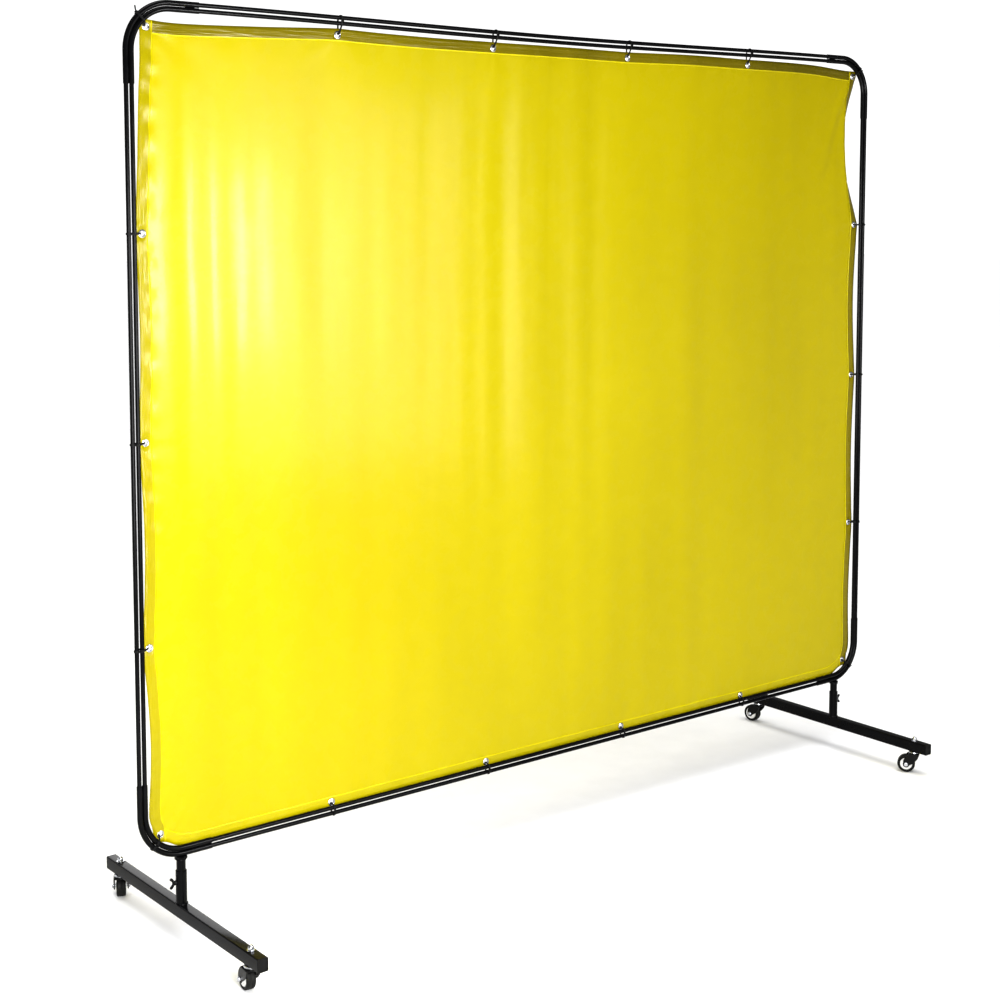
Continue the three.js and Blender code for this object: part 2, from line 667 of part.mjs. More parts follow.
function foot(side, x, outward) {
  const group = new THREE.Group();
  const middle = (BAR_BOTTOM + BAR_TOP) / 2;
  const bar = mirrored(footBar(), outward > 0, false);
  group.add(part(`foot_bar_${side}`, bar, blackPowderCoat(), [x, 0, 0]));
  for (const [end, facing] of [["front", -1], ["rear", 1]]) {
    group.add(part(`plug_${end}_${side}`, endPlug(facing), blackPlastic(), [x, 0, middle]));
    group.add(caster(`${end}_${side}`, x, facing * CASTER_Y, TRAILS[`${end}_${side}`]));
  }
  const turn = outward > 0 ? 0 : Math.PI;
  const height = BAR_TOP + SCREW_HEIGHT;
  group.add(part(`clamp_screw_${side}`, clampScrew(), blackPlastic(), [x, 0, height], turn));
  return group;
}

// ---- the whole screen ----
const screen = new THREE.Group();
screen.add(corners());
screen.add(straightTubes());
screen.add(curtain());
screen.add(ties());
screen.add(foot("left", -POST_X, -1));
screen.add(foot("right", POST_X, 1));

export default screen;
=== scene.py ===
"""Welding curtain screen: a vinyl curtain tied inside a double-tube frame on casters.

Metres, in the frame of the CAD model: X along the screen, Y from front to back, Z up.
"""
import math

import bmesh
import bpy
import numpy as np
from mathutils import Matrix, Vector


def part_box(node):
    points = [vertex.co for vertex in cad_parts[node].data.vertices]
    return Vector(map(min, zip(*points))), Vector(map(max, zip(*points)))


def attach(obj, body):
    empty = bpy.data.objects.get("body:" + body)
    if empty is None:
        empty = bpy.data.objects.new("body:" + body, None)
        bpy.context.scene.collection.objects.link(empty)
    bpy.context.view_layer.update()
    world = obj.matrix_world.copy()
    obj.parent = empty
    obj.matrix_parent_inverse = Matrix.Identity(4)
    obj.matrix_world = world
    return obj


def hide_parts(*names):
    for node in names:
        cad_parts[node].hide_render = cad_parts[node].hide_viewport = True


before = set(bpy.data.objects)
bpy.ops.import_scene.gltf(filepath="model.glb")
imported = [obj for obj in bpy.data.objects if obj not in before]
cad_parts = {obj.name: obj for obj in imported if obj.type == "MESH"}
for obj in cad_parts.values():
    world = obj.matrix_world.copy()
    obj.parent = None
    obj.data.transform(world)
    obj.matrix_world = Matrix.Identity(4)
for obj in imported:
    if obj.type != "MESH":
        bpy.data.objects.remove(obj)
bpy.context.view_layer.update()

MM = 0.001
TAU = 2 * math.pi

# ---- design sizes that the CAD boxes don't give directly ----
CORNER_RADIUS = 6.2 * MM
TUBE_RADIUS = 5.0 * MM
CORNER_LEG = 180 * MM
TUBE_PLUG = 30 * MM
BEND_RADIUS = 104 * MM
TOP_SAG = 7 * MM
HEM = 29 * MM
GROMMET_INSET = 15 * MM
GROMMET_RADIUS = 9 * MM
GROMMET_HOLE = 5.5 * MM
TIES_ACROSS = 6
TIES_UP = 5
CORNER_GROMMET = 58 * MM
BAR_WALL = 1.5 * MM
FIT = 0.3 * MM


def middle(node):
    low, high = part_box(node)
    return (low + high) / 2


# ---- places read from the CAD model ----
REACH = CORNER_LEG - TUBE_PLUG
SIDE_LOW, SIDE_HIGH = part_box("tube_left_outer")
FRAME_BOTTOM = SIDE_LOW.z - REACH
FRAME_TOP = SIDE_HIGH.z + REACH
HALF_WIDTH = -middle("tube_left_outer").x + CORNER_RADIUS
OUTER_LINE = CORNER_RADIUS
INNER_LINE = middle("tube_left_inner").x + HALF_WIDTH
POST_X = middle("foot_bar_right").x
BAR_LOW, BAR_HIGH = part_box("plug_front_right")
BAR_BOTTOM, BAR_TOP = BAR_LOW.z, BAR_HIGH.z
BAR_WIDTH = BAR_HIGH.x - BAR_LOW.x
BAR_HALF_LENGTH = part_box("foot_bar_right")[1].y
SOCKET_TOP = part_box("foot_bar_right")[1].z
CURTAIN_LOW, CURTAIN_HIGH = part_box("curtain")
CURTAIN_WIDTH = CURTAIN_HIGH.x - CURTAIN_LOW.x
CURTAIN_HEIGHT = CURTAIN_HIGH.z - CURTAIN_LOW.z
CURTAIN_MIDDLE = (CURTAIN_LOW.z + CURTAIN_HIGH.z) / 2


# ---- camera, light and floor ----
FOCAL_PIXELS = 1682.5
IMAGE_PIXELS = 1000
CAMERA_PLACE = (-2.7969, -3.2661, 1.6411)
CAMERA_HEADING = 38.56
CAMERA_DIP = 5.01
SENSOR = 36.0
CAMERA_SHIFT = -0.15
LIGHTING_STRENGTH = 0.26
SEEN_STRENGTH = 0.98
SUN_STRENGTH = 2.5
SUN_WIDTH = 40


def add_camera():
    data = bpy.data.cameras.new("camera")
    data.sensor_width = SENSOR
    data.lens = FOCAL_PIXELS * SENSOR / IMAGE_PIXELS
    data.shift_y = CAMERA_SHIFT
    data.clip_end = 60
    camera = bpy.data.objects.new("camera", data)
    bpy.context.scene.collection.objects.link(camera)
    camera.location = CAMERA_PLACE
    turn = (math.radians(90 - CAMERA_DIP), 0, math.radians(-CAMERA_HEADING))
    camera.rotation_euler = turn
    bpy.context.scene.camera = camera


def add_light(name, place, aim, size, power, colour=(1, 1, 1)):
    data = bpy.data.lights.new(name, "AREA")
    data.shape = "RECTANGLE"
    data.size, data.size_y = size
    data.energy = power
    data.color = colour
    light = bpy.data.objects.new(name, data)
    bpy.context.scene.collection.objects.link(light)
    light.location = place
    light.rotation_euler = (Vector(aim) - Vector(place)).to_track_quat("-Z", "Y").to_euler()
    light.visible_camera = False
    return light


def add_world():
    """White behind the object, and a dimmer white that lights it, so that black stays black."""
    world = bpy.data.worlds.new("studio")
    world.use_nodes = True
    nodes, links = world.node_tree.nodes, world.node_tree.links
    lighting = nodes["Background"]
    lighting.inputs["Color"].default_value = (1, 1, 1, 1)
    lighting.inputs["Strength"].default_value = LIGHTING_STRENGTH
    seen = nodes.new("ShaderNodeBackground")
    seen.inputs["Color"].default_value = (1, 1, 1, 1)
    seen.inputs["Strength"].default_value = SEEN_STRENGTH
    ray = nodes.new("ShaderNodeLightPath")
    mix = nodes.new("ShaderNodeMixShader")
    links.new(ray.outputs["Is Camera Ray"], mix.inputs["Fac"])
    links.new(lighting.outputs["Background"], mix.inputs[1])
    links.new(seen.outputs["Background"], mix.inputs[2])
    links.new(mix.outputs["Shader"], nodes["World Output"].inputs["Surface"])
    bpy.context.scene.world = world
    bpy.context.scene.view_settings.view_transform = "Standard"
    bpy.context.scene.view_settings.look = "Medium High Contrast"


def add_lights():
    strip = add_light("strip", (0.30, -2.3, 1.42), (-0.95, 0, 1.42), (0.30, 0.62), 28)
    glow = add_light("glow", (0.75, -2.6, 1.35), (-0.6, 0, 1.35), (1.5, 1.5), 42)
    behind = add_light("behind", (0.45, 2.9, 1.35), (-1.1, 0, 0.1), (1.5, 1.4), 20)
    for light in (strip, glow, behind):
        light.visible_diffuse = False
    add_light("key", (-1.75, -2.3, 1.1), (-0.7, 0, 1.1), (1.3, 1.3), 112)
    add_light("back", (-1.4, 2.8, 2.0), (-0.5, 0, 1.2), (1.6, 1.6), 22)
    data = bpy.data.lights.new("overhead", "SUN")
    data.energy = SUN_STRENGTH
    data.angle = math.radians(SUN_WIDTH)
    sun = bpy.data.objects.new("overhead", data)
    bpy.context.scene.collection.objects.link(sun)
    sun.rotation_euler = (math.radians(8), 0, 0)


# ---- mesh helpers ----
def make_object(name, vertices, faces, material, smooth=True):
    mesh = bpy.data.meshes.new(name)
    mesh.from_pydata([tuple(v) for v in vertices], [], [tuple(f) for f in faces])
    mesh.validate()
    if smooth:
        mesh.shade_smooth()
    obj = bpy.data.objects.new(name, mesh)
    bpy.context.scene.collection.objects.link(obj)
    if material is not None:
        mesh.materials.append(material)
    return obj


def tidy_normals(obj, angle=35.0):
    """Faces out, and an edge sharper than the angle stays sharp."""
    mesh = bmesh.new()
    mesh.from_mesh(obj.data)
    bmesh.ops.remove_doubles(mesh, verts=mesh.verts, dist=1e-6)
    bmesh.ops.recalc_face_normals(mesh, faces=mesh.faces)
    limit = math.radians(angle)
    for edge in mesh.edges:
        edge.smooth = len(edge.link_faces) == 2 and edge.calc_face_angle(0) < limit
    mesh.to_mesh(obj.data)
    mesh.free()
    return obj


def join(name, objects):
    """Several meshes as one object, which keeps every material."""
    bpy.ops.object.select_all(action="DESELECT")
    for obj in objects:
        obj.select_set(True)
    bpy.context.view_layer.objects.active = objects[0]
    if len(objects) > 1:
        bpy.ops.object.join()
    made = bpy.context.view_layer.objects.active
    made.name = name
    made.data.name = name
    return made


def place(obj, matrix):
    obj.data.transform(matrix)
    obj.data.update()
    return obj


def frames_along(points):
    """Tangent, normal and binormal at each point of a line, turned as little as possible."""
    points = np.asarray(points, float)
    tangents = np.gradient(points, axis=0)
    tangents /= np.linalg.norm(tangents, axis=1)[:, None]
    start = np.eye(3)[np.argmin(np.abs(tangents[0]))]
    normal = np.cross(tangents[0], start)
    normal /= np.linalg.norm(normal)
    normals = []
    for tangent in tangents:
        normal = normal - tangent * (normal @ tangent)
        normal /= np.linalg.norm(normal)
        normals.append(normal)
    normals = np.array(normals)
    return tangents, normals, np.cross(tangents, normals)


def sweep(name, points, radii, material, sides=24, closed=False):
    """A round rod along a line, with a radius at each point."""
    points = np.asarray(points, float)
    _, normals, binormals = frames_along(points)
    if closed:
        ring_axis = points.mean(axis=0)
        centre = points - ring_axis
        _, _, basis = np.linalg.svd(centre)
        up = basis[2]
        normals = centre / np.linalg.norm(centre, axis=1)[:, None]
        binormals = np.repeat(up[None], len(points), axis=0)
    radii = np.broadcast_to(radii, len(points))
    angles = np.arange(sides) * TAU / sides
    along_normal = np.cos(angles)[None, :, None] * normals[:, None]
    across = along_normal + np.sin(angles)[None, :, None] * binormals[:, None]
    vertices = (points[:, None] + radii[:, None, None] * across).reshape(-1, 3)
    faces = []
    rings = len(points)
    for i in range(rings if closed else rings - 1):
        j = (i + 1) % rings
        for k in range(sides):
            n = (k + 1) % sides
            faces.append((i * sides + k, i * sides + n, j * sides + n, j * sides + k))
    if not closed:
        faces.append(tuple(range(sides))[::-1])
        faces.append(tuple((rings - 1) * sides + k for k in range(sides)))
    return tidy_normals(make_object(name, vertices, faces, material))


def lathe(name, profile, material, sides=48):
    """A profile of (radius, height) turned about Z. A radius of 0 closes it on the axis."""
    vertices, rows = [], []
    for radius, height in profile:
        if radius < 1e-7:
            rows.append([len(vertices)])
            vertices.append((0, 0, height))
            continue
        rows.append(list(range(len(vertices), len(vertices) + sides)))
        for k in range(sides):
            angle = TAU * k / sides
            vertices.append((radius * math.cos(angle), radius * math.sin(angle), height))
    loop = rows if profile[0][0] < 1e-7 and profile[-1][0] < 1e-7 else rows + [rows[0]]
    faces = []
    for a, b in zip(loop, loop[1:]):
        for k in range(sides):
            n = (k + 1) % sides
            quad = [a[k % len(a)], a[n % len(a)], b[n % len(b)], b[k % len(b)]]
            face = list(dict.fromkeys(quad))
            if len(face) > 2:
                faces.append(face)
    return tidy_normals(make_object(name, vertices, faces, material))


def rounded(profile, radius, steps=4, closed=True):
    """A polygon of (x, y) with its corners rounded."""
    points = [np.array(p, float) for p in profile]
    result = []
    count = len(points)
    for i, point in enumerate(points):
        if not closed and i in (0, count - 1):
            result.append(tuple(point))
            continue
        before, after = points[i - 1] - point, points[(i + 1) % count] - point
        room = min(np.linalg.norm(before), np.linalg.norm(after)) * 0.49
        cut = min(radius, room)
        start = point + before / np.linalg.norm(before) * cut
        end = point + after / np.linalg.norm(after) * cut
        for s in np.linspace(0, 1, steps + 1):
            result.append(tuple((1 - s) ** 2 * start + 2 * s * (1 - s) * point + s**2 * end))
    return result


def rectangle(half_x, half_y, radius, steps=4):
    return rounded(
        [(-half_x, -half_y), (half_x, -half_y), (half_x, half_y), (-half_x, half_y)], radius, steps
    )


def slab(name, outline, low, high, material, bevel=0.0):
    """An outline in X and Y between two heights, with its edges eased by a bevel."""
    mesh = bmesh.new()
    rings = []
    levels = [
        (low, bevel), (low + bevel, 0), (high - bevel, 0), (high, bevel)
    ] if bevel else [(low, 0), (high, 0)]
    corners = np.array(outline)
    centre = (corners.max(axis=0) + corners.min(axis=0)) / 2
    size = np.abs(corners - centre).max(axis=0)
    for z, inset in levels:
        scale = 1 - inset / np.maximum(size, 1e-9)
        rings.append([mesh.verts.new((*(centre + (np.array(p) - centre) * scale), z)) for p in outline])
    for a, b in zip(rings, rings[1:]):
        for k in range(len(outline)):
            n = (k + 1) % len(outline)
            mesh.faces.new((a[k], a[n], b[n], b[k]))
    mesh.faces.new(rings[0][::-1])
    mesh.faces.new(rings[-1])
    data = bpy.data.meshes.new(name)
    mesh.to_mesh(data)
    mesh.free()
    obj = bpy.data.objects.new(name, data)
    bpy.context.scene.collection.objects.link(obj)
    data.materials.append(material)
    data.shade_smooth()
    return tidy_normals(obj, 30)


def cut(obj, tools):
    """Takes the tools out of the object and deletes them."""
    for tool in tools:
        modifier = obj.modifiers.new("cut", "BOOLEAN")
        modifier.operation = "DIFFERENCE"
        modifier.solver = "EXACT"
        modifier.object = tool
        bpy.context.view_layer.objects.active = obj
        bpy.ops.object.modifier_apply(modifier=modifier.name)
        bpy.data.objects.remove(tool)
    return tidy_normals(obj, 30)


def polygon_circle(radius, sides, centre=(0, 0), start=0.0):
    return [
        (
            centre[0] + radius * math.cos(start + TAU * k / sides),
            centre[1] + radius * math.sin(start + TAU * k / sides)
        )
        for k in range(sides)
    ]


# ---- materials ----
def new_material(name):
    material = bpy.data.materials.new(name)
    material.use_nodes = True
    nodes, links = material.node_tree.nodes, material.node_tree.links
    return material, nodes, links, nodes["Principled BSDF"]


def noise(nodes, links, scale, detail=4.0, roughness=0.55, stretch=(1, 1, 1)):
    """The factor of a noise texture in object space, in periods per metre."""
    place_node = nodes.new("ShaderNodeTexCoord")
    mapping = nodes.new("ShaderNodeMapping")
    mapping.inputs["Scale"].default_value = stretch
    texture = nodes.new("ShaderNodeTexNoise")
    texture.inputs["Scale"].default_value = scale
    texture.inputs["Detail"].default_value = detail
    texture.inputs["Roughness"].default_value = roughness
    links.new(place_node.outputs["Object"], mapping.inputs["Vector"])
    links.new(mapping.outputs["Vector"], texture.inputs["Vector"])
    return texture.outputs["Fac"]


def between(nodes, links, factor, low, high, start=0.3, end=0.7):
    """The factor mapped from start..end to low..high."""
    ranged = nodes.new("ShaderNodeMapRange")
    ranged.inputs["From Min"].default_value = start
    ranged.inputs["From Max"].default_value = end
    ranged.inputs["To Min"].default_value = low
    ranged.inputs["To Max"].default_value = high
    links.new(factor, ranged.inputs["Value"])
    return ranged.outputs["Result"]


def tint(nodes, links, factor, dark, light, start=0.3, end=0.7):
    ramp = nodes.new("ShaderNodeValToRGB")
    ramp.color_ramp.elements[0].position = start
    ramp.color_ramp.elements[1].position = end
    ramp.color_ramp.elements[0].color = (*dark, 1)
    ramp.color_ramp.elements[1].color = (*light, 1)
    links.new(factor, ramp.inputs["Fac"])
    return ramp.outputs["Color"]


def bump(nodes, links, shader, height, distance, strength=1.0, before=None):
    node = nodes.new("ShaderNodeBump")
    node.inputs["Strength"].default_value = strength
    node.inputs["Distance"].default_value = distance
    links.new(height, node.inputs["Height"])
    if before is not None:
        links.new(before, node.inputs["Normal"])
    if shader is not None:
        links.new(node.outputs["Normal"], shader.inputs["Normal"])
    return node.outputs["Normal"]


def surface(
    name, dark, light, rough, metallic=0.0, coat=0.0, grain=400.0, depth=0.05, patch=12.0, specular=0.5
):
    """A hard surface: its colour and roughness drift over it, and a fine grain breaks its gloss."""
    material, nodes, links, shader = new_material(name)
    drift = noise(nodes, links, patch, 5)
    links.new(tint(nodes, links, drift, dark, light), shader.inputs["Base Color"])
    speckle = noise(nodes, links, grain / 4, 3)
    links.new(between(nodes, links, speckle, *rough), shader.inputs["Roughness"])
    bump(nodes, links, shader, noise(nodes, links, grain, 2), depth * MM)
    shader.inputs["Metallic"].default_value = metallic
    shader.inputs["Coat Weight"].default_value = coat
    shader.inputs["Coat Roughness"].default_value = 0.12
    shader.inputs["Specular IOR Level"].default_value = specular
    return material


def vinyl(name, dark, light, share, rough=(0.2, 0.34), folds=None):
    """Translucent PVC film: a gloss skin over a body that lets part of the light through.

    Folds give the stretch of fine creases along a hem.
    """
    material, nodes, links, shader = new_material(name)
    drift = noise(nodes, links, 1.6, 3, stretch=(1.0, 1.0, 0.35))
    colour = tint(nodes, links, drift, dark, light, 0.35, 0.65)
    links.new(colour, shader.inputs["Base Color"])
    haze = noise(nodes, links, 22, 4)
    links.new(between(nodes, links, haze, *rough), shader.inputs["Roughness"])
    ripple = noise(nodes, links, 9.0, 2, stretch=(1.6, 1.0, 0.22))
    first = bump(nodes, links, None, ripple, 2.0 * MM, 0.5)
    if folds:
        first = bump(nodes, links, None, noise(nodes, links, 75, 3, stretch=folds), 2.4 * MM, 1.0, first)
    peel = noise(nodes, links, 150, 2)
    normal = bump(nodes, links, shader, peel, 0.02 * MM, 0.6, first)
    shader.inputs["Coat Weight"].default_value = 0.2
    shader.inputs["Coat Roughness"].default_value = 0.16
    shader.inputs["Specular IOR Level"].default_value = 0.14
    links.new(first, shader.inputs["Coat Normal"])
    through = nodes.new("ShaderNodeBsdfTranslucent")
    links.new(colour, through.inputs["Color"])
    links.new(normal, through.inputs["Normal"])
    mix = nodes.new("ShaderNodeMixShader")
    mix.inputs["Fac"].default_value = share
    links.new(shader.outputs["BSDF"], mix.inputs[1])
    links.new(through.outputs["BSDF"], mix.inputs[2])
    links.new(mix.outputs["Shader"], nodes["Material Output"].inputs["Surface"])
    return material


FOLDS_ACROSS = (0.06, 1.0, 1.0)
FOLDS_UP = (1.0, 1.0, 0.06)


def make_materials():
    return {
        "black": surface(
            "black_powder_coat",
            (0.0018, 0.0018, 0.002),
            (0.004, 0.004, 0.0044),
            (0.14, 0.24),
            coat=0.03,
            depth=0.01,
            specular=0.06,
        ),
        "caster": surface(
            "caster_black",
            (0.003, 0.003, 0.003),
            (0.006, 0.006, 0.006),
            (0.28, 0.42),
            coat=0.03,
            depth=0.02,
            specular=0.1,
        ),
        "zinc": surface(
            "zinc_plate", (0.34, 0.35, 0.37), (0.54, 0.55, 0.57), (0.18, 0.34), metallic=1.0, depth=0.01
        ),
        "nylon": surface(
            "black_nylon",
            (0.004, 0.004, 0.004),
            (0.008, 0.008, 0.008),
            (0.4, 0.55),
            depth=0.02,
            specular=0.1
        ),
        "hub": surface("grey_plastic", (0.62, 0.62, 0.61), (0.80, 0.80, 0.78), (0.35, 0.5), depth=0.02),
        "rubber": surface(
            "black_rubber",
            (0.005, 0.005, 0.005),
            (0.011, 0.011, 0.010),
            (0.45, 0.62),
            depth=0.05,
            specular=0.12
        ),
        "vinyl": vinyl("yellow_vinyl", (0.51, 0.43, 0.0), (0.57, 0.485, 0.0), 0.36),
        # The hems are darker than the sheet partly because the film is doubled there. The rest is painted
        # shade and painted light by side: the top hem and the right hem are painted darker, the left hem
        # lighter and the bottom hem lighter still. The real hem film is one colour all round.
        "hem": vinyl("top_right_hem_painted_shade_vinyl", (0.13, 0.105, 0.0), (0.23, 0.185, 0.0), 0.2, folds=FOLDS_ACROSS),
        "right_hem_painted_shade": vinyl("right_hem_painted_shade_vinyl", (0.16, 0.125, 0.0), (0.26, 0.21, 0.0), 0.2, folds=FOLDS_UP),
        "left_hem_painted_light": vinyl(
            "left_hem_painted_light_vinyl", (0.3, 0.25, 0.0), (0.44, 0.37, 0.0), 0.3, folds=FOLDS_UP
        ),
        "weld": vinyl("weld_line", (0.62, 0.53, 0.0), (0.72, 0.63, 0.0), 0.3),
        "bottom_hem_painted_light": vinyl(
            "bottom_hem_painted_light_vinyl", (0.46, 0.39, 0.0), (0.56, 0.475, 0.0), 0.3, folds=FOLDS_ACROSS
        ),
        "floor": surface("floor", (0.86, 0.86, 0.86), (0.90, 0.90, 0.90), (0.6, 0.75), depth=0.02),
    }


MATERIALS = make_materials()


def add_floor():
    size = 40.0
    corners = [(-size, -size, 0), (size, -size, 0), (size, size, 0), (-size, size, 0)]
    floor = make_object("floor", corners, [(0, 1, 2, 3)], MATERIALS["floor"], smooth=False)


# ---- frame tubes ----
def eased_radii(distances, radius, ease=0.8 * MM):
    """A rod's radius with both its ends eased, from the distances along it."""
    from_end = np.minimum(distances, distances[-1] - distances)
    return radius - np.clip(ease - from_end, 0, ease) * 0.8


def bend_line(line):
    """The centreline of a corner piece's tube, from the end of one leg to the other."""
    radius = BEND_RADIUS + OUTER_LINE - line
    centre = line + radius
    legs = [CORNER_LEG, CORNER_LEG - 0.8 * MM, CORNER_LEG - 3 * MM, (CORNER_LEG + centre) / 2]
    points = [(x, 0, line) for x in legs]
    for angle in np.linspace(1.5 * math.pi, math.pi, 25):
        points.append((centre + radius * math.cos(angle), 0, centre + radius * math.sin(angle)))
    points += [(line, 0, z) for z in legs[::-1]]
    return np.array(points)


def length_along(points):
    steps = np.linalg.norm(np.diff(points, axis=0), axis=1)
    return np.concatenate([[0], np.cumsum(steps)])


def weld_bead(name, points, radius, seed):
    """A bead round a closed line, lumpy along it."""
    random = np.random.default_rng(seed)
    count = len(points)
    wave = sum(
        random.normal() * np.cos(
            np.arange(count) * TAU * k / count + random.uniform(0, TAU)
        ) for k in (5, 9, 13)
    )
    return sweep(name, points, radius * (1 + 0.10 * wave), MATERIALS["black"], 10, closed=True)


def ring_points(radius, height, count=48, centre=(0, 0)):
    return [
        (
            centre[0] + radius * math.cos(TAU * k / count),
            centre[1] + radius * math.sin(TAU * k / count),
            height
        ) for k in range(count)
    ]


def corner_piece(level, side):
    """One welded corner piece, made with the frame's outer corner at the origin and turned into place."""
    name = f"corner_{level}_{side}"
    black = MATERIALS["black"]
    pieces = []
    for line in (OUTER_LINE, INNER_LINE):
        points = bend_line(line)
        pieces.append(
            sweep(f"{name}_tube", points, eased_radii(length_along(points), CORNER_RADIUS), black)
        )
    middle_line = (OUTER_LINE + INNER_LINE) / 2
    spacer = rectangle(11 * MM, 2.4 * MM, 1 * MM)
    start = CORNER_LEG - 22 * MM
    for turned in (False, True):
        web = slab(f"{name}_web", spacer, -1.5 * MM, 1.5 * MM, black, 0.3 * MM)
        place(web, Matrix.Rotation(math.pi / 2, 4, "X"))
        if turned:
            place(web, Matrix.Rotation(math.pi / 2, 4, "Y"))
            place(web, Matrix.Translation((middle_line, 0, start)))
        else:
            place(web, Matrix.Translation((start, 0, middle_line)))
        pieces.append(web)
    if level == "bottom":
        pieces += post_pieces(name)
    sx, sz = (-1 if side == "right" else 1), (-1 if level == "top" else 1)
    corner = join(f"{name}_weldment", pieces)
    place(corner, Matrix.Diagonal((sx, 1, sz, 1)))
    place(corner, Matrix.Translation((-sx * HALF_WIDTH, 0, FRAME_TOP if level == "top" else FRAME_BOTTOM)))
    tidy_normals(corner, 35)
    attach(corner, "screen")
    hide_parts(name)


def post_pieces(name):
    """The saddle and the post under a lower corner piece."""
    black = MATERIALS["black"]
    inset = HALF_WIDTH - POST_X
    radius = 10.3 * MM
    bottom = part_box("corner_bottom_left")[0].z - FRAME_BOTTOM
    top = -1.0 * MM
    post = lathe(
        f"{name}_post",
        [
            (8.8 * MM, bottom + 4 * MM),
            (8.8 * MM, bottom + 0.5 * MM),
            (9.3 * MM, bottom),
            (radius - 0.4 * MM, bottom),
            (radius, bottom + 0.5 * MM),
            (radius, top),
            (8.8 * MM, top),
        ],
        black,
    )
    outline = rectangle(14 * MM, 7.5 * MM, 5 * MM)
    saddle = slab(f"{name}_saddle", outline, -5.6 * MM, 0.8 * MM, black, 0.9 * MM)
    bead = weld_bead(f"{name}_bead", ring_points(radius + 0.2 * MM, -6.0 * MM), 1.5 * MM, 11)
    pieces = [post, saddle, bead]
    return [place(piece, Matrix.Translation((inset, 0, 0))) for piece in pieces]


def sag_at(x):
    """How far the top tubes hang at x."""
    length = 2 * (HALF_WIDTH - REACH)
    return TOP_SAG / 2 * (1 + math.cos(TAU * min(max(x / length, -0.5), 0.5)))


def straight_tubes():
    black = MATERIALS["black"]
    for ring, line in (("outer", OUTER_LINE), ("inner", INNER_LINE)):
        for level, z in (("bottom", FRAME_BOTTOM + line), ("top", FRAME_TOP - line)):
            xs = np.linspace(REACH - HALF_WIDTH, HALF_WIDTH - REACH, 49 if level == "top" else 3)
            points = [(x, 0, z - (sag_at(x) if level == "top" else 0)) for x in xs]
            add_tube(f"tube_{level}_{ring}", points, black)
        for side, x in (("left", line - HALF_WIDTH), ("right", HALF_WIDTH - line)):
            points = [(x, 0, z) for z in np.linspace(SIDE_LOW.z, SIDE_HIGH.z, 3)]
            add_tube(f"tube_{side}_{ring}", points, black)


def add_tube(node, points, material):
    tube = sweep(f"{node}_rod", points, TUBE_RADIUS, material)
    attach(tube, "screen")
    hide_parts(node)


# ---- curtain ----
CELLS_BETWEEN_TIES = 20
FINE_STEP = 2
WELD_WIDTH = 3 * MM
HOLE_HALF = 7 * MM
FILM = 0.5 * MM
CURTAIN_MIDDLE_Y = 8.6 * MM
TUBE_BACK = 7.2 * MM
SLACK_ACROSS = 0.0024
SLACK_UP = 0.0014
SIM_FRAMES = 36
SOFTENING = 10

# How far the edge draws in between two ties, and how far along the deepest place lies (a power).
SCALLOPS = {
    "left": [(14, 1.0), (9, 1.0), (7, 1.0), (9, 1.0)],
    "right": [(10, 1.0), (9, 1.0), (13, 1.0), (38, 1.1)],
    "bottom": [(0, 1.0), (0, 1.0), (0, 1.0), (0, 1.0), (2, 1.0)],
    "top": [(12, 0.8), (2, 0.8), (-2, 1.0), (-3, 1.0), (1, 1.2)],
}
SCALLOP_REACH = 320 * MM
CORNER_REACH = {-1: 50 * MM, 1: 140 * MM}
CURL = math.radians(42)

# Vertical waves: length in mm, height in mm, drift of phase from the foot to the head of the cloth.
WAVES = (
    (410, 1.9, 0.9),
    (265, 1.5, -1.4),
    (188, 1.15, 1.1),
    (139, 0.85, -0.7),
    (101, 0.5, 1.9),
    (77, 0.25, -1.2)
)


def grommets_along(size, count):
    return np.linspace(GROMMET_INSET, size - GROMMET_INSET, count)


def cloth_lines(size, count):
    """Grid lines across one side of the cloth: its edges, the grommets and even steps between."""
    places = grommets_along(size, count)
    lines = [0.0]
    for a, b in zip(places, places[1:]):
        lines += list(np.linspace(a, b, CELLS_BETWEEN_TIES, endpoint=False))
    return np.array(lines + [places[-1], size])


def fine_lines(size, count):
    """Closer lines, with extra ones round each grommet and at both edges of the weld."""
    coarse = cloth_lines(size, count)
    steps = [np.linspace(a, b, FINE_STEP, endpoint=False) for a, b in zip(coarse, coarse[1:])]
    lines = np.concatenate(steps + [[size]])
    places = grommets_along(size, count)
    extra = [p + d for p in places for d in (-HOLE_HALF, 0, HOLE_HALF)]
    for edge in (HEM - WELD_WIDTH, HEM):
        extra += [edge, size - edge]
    near = np.abs(lines[:, None] - np.array(extra)[None]).min(axis=1) < 4.5 * MM
    keep = ~near
    keep[[0, -1]] = True
    return np.unique(np.round(np.concatenate([lines[keep], extra]), 7))


def scallop(name, along, size, count):
    """How far an edge draws in, at each place along it."""
    places = grommets_along(size, count)
    drawn = np.zeros_like(along)
    for (depth, power), a, b in zip(SCALLOPS[name], places, places[1:]):
        t = np.clip((along - a) / (b - a), 0, 1)
        drawn += depth * MM * np.sin(math.pi * t**power) ** 1.25
    return drawn


def top_shifts():
    """How far each tie along the top stands to the right of its evenly spaced grommet."""
    even = CURTAIN_LOW.x + grommets_along(CURTAIN_WIDTH, TIES_ACROSS)
    return [0, *(middle(f"tie_top_{i}").x - even[i] for i in range(1, TIES_ACROSS - 1)), 0]


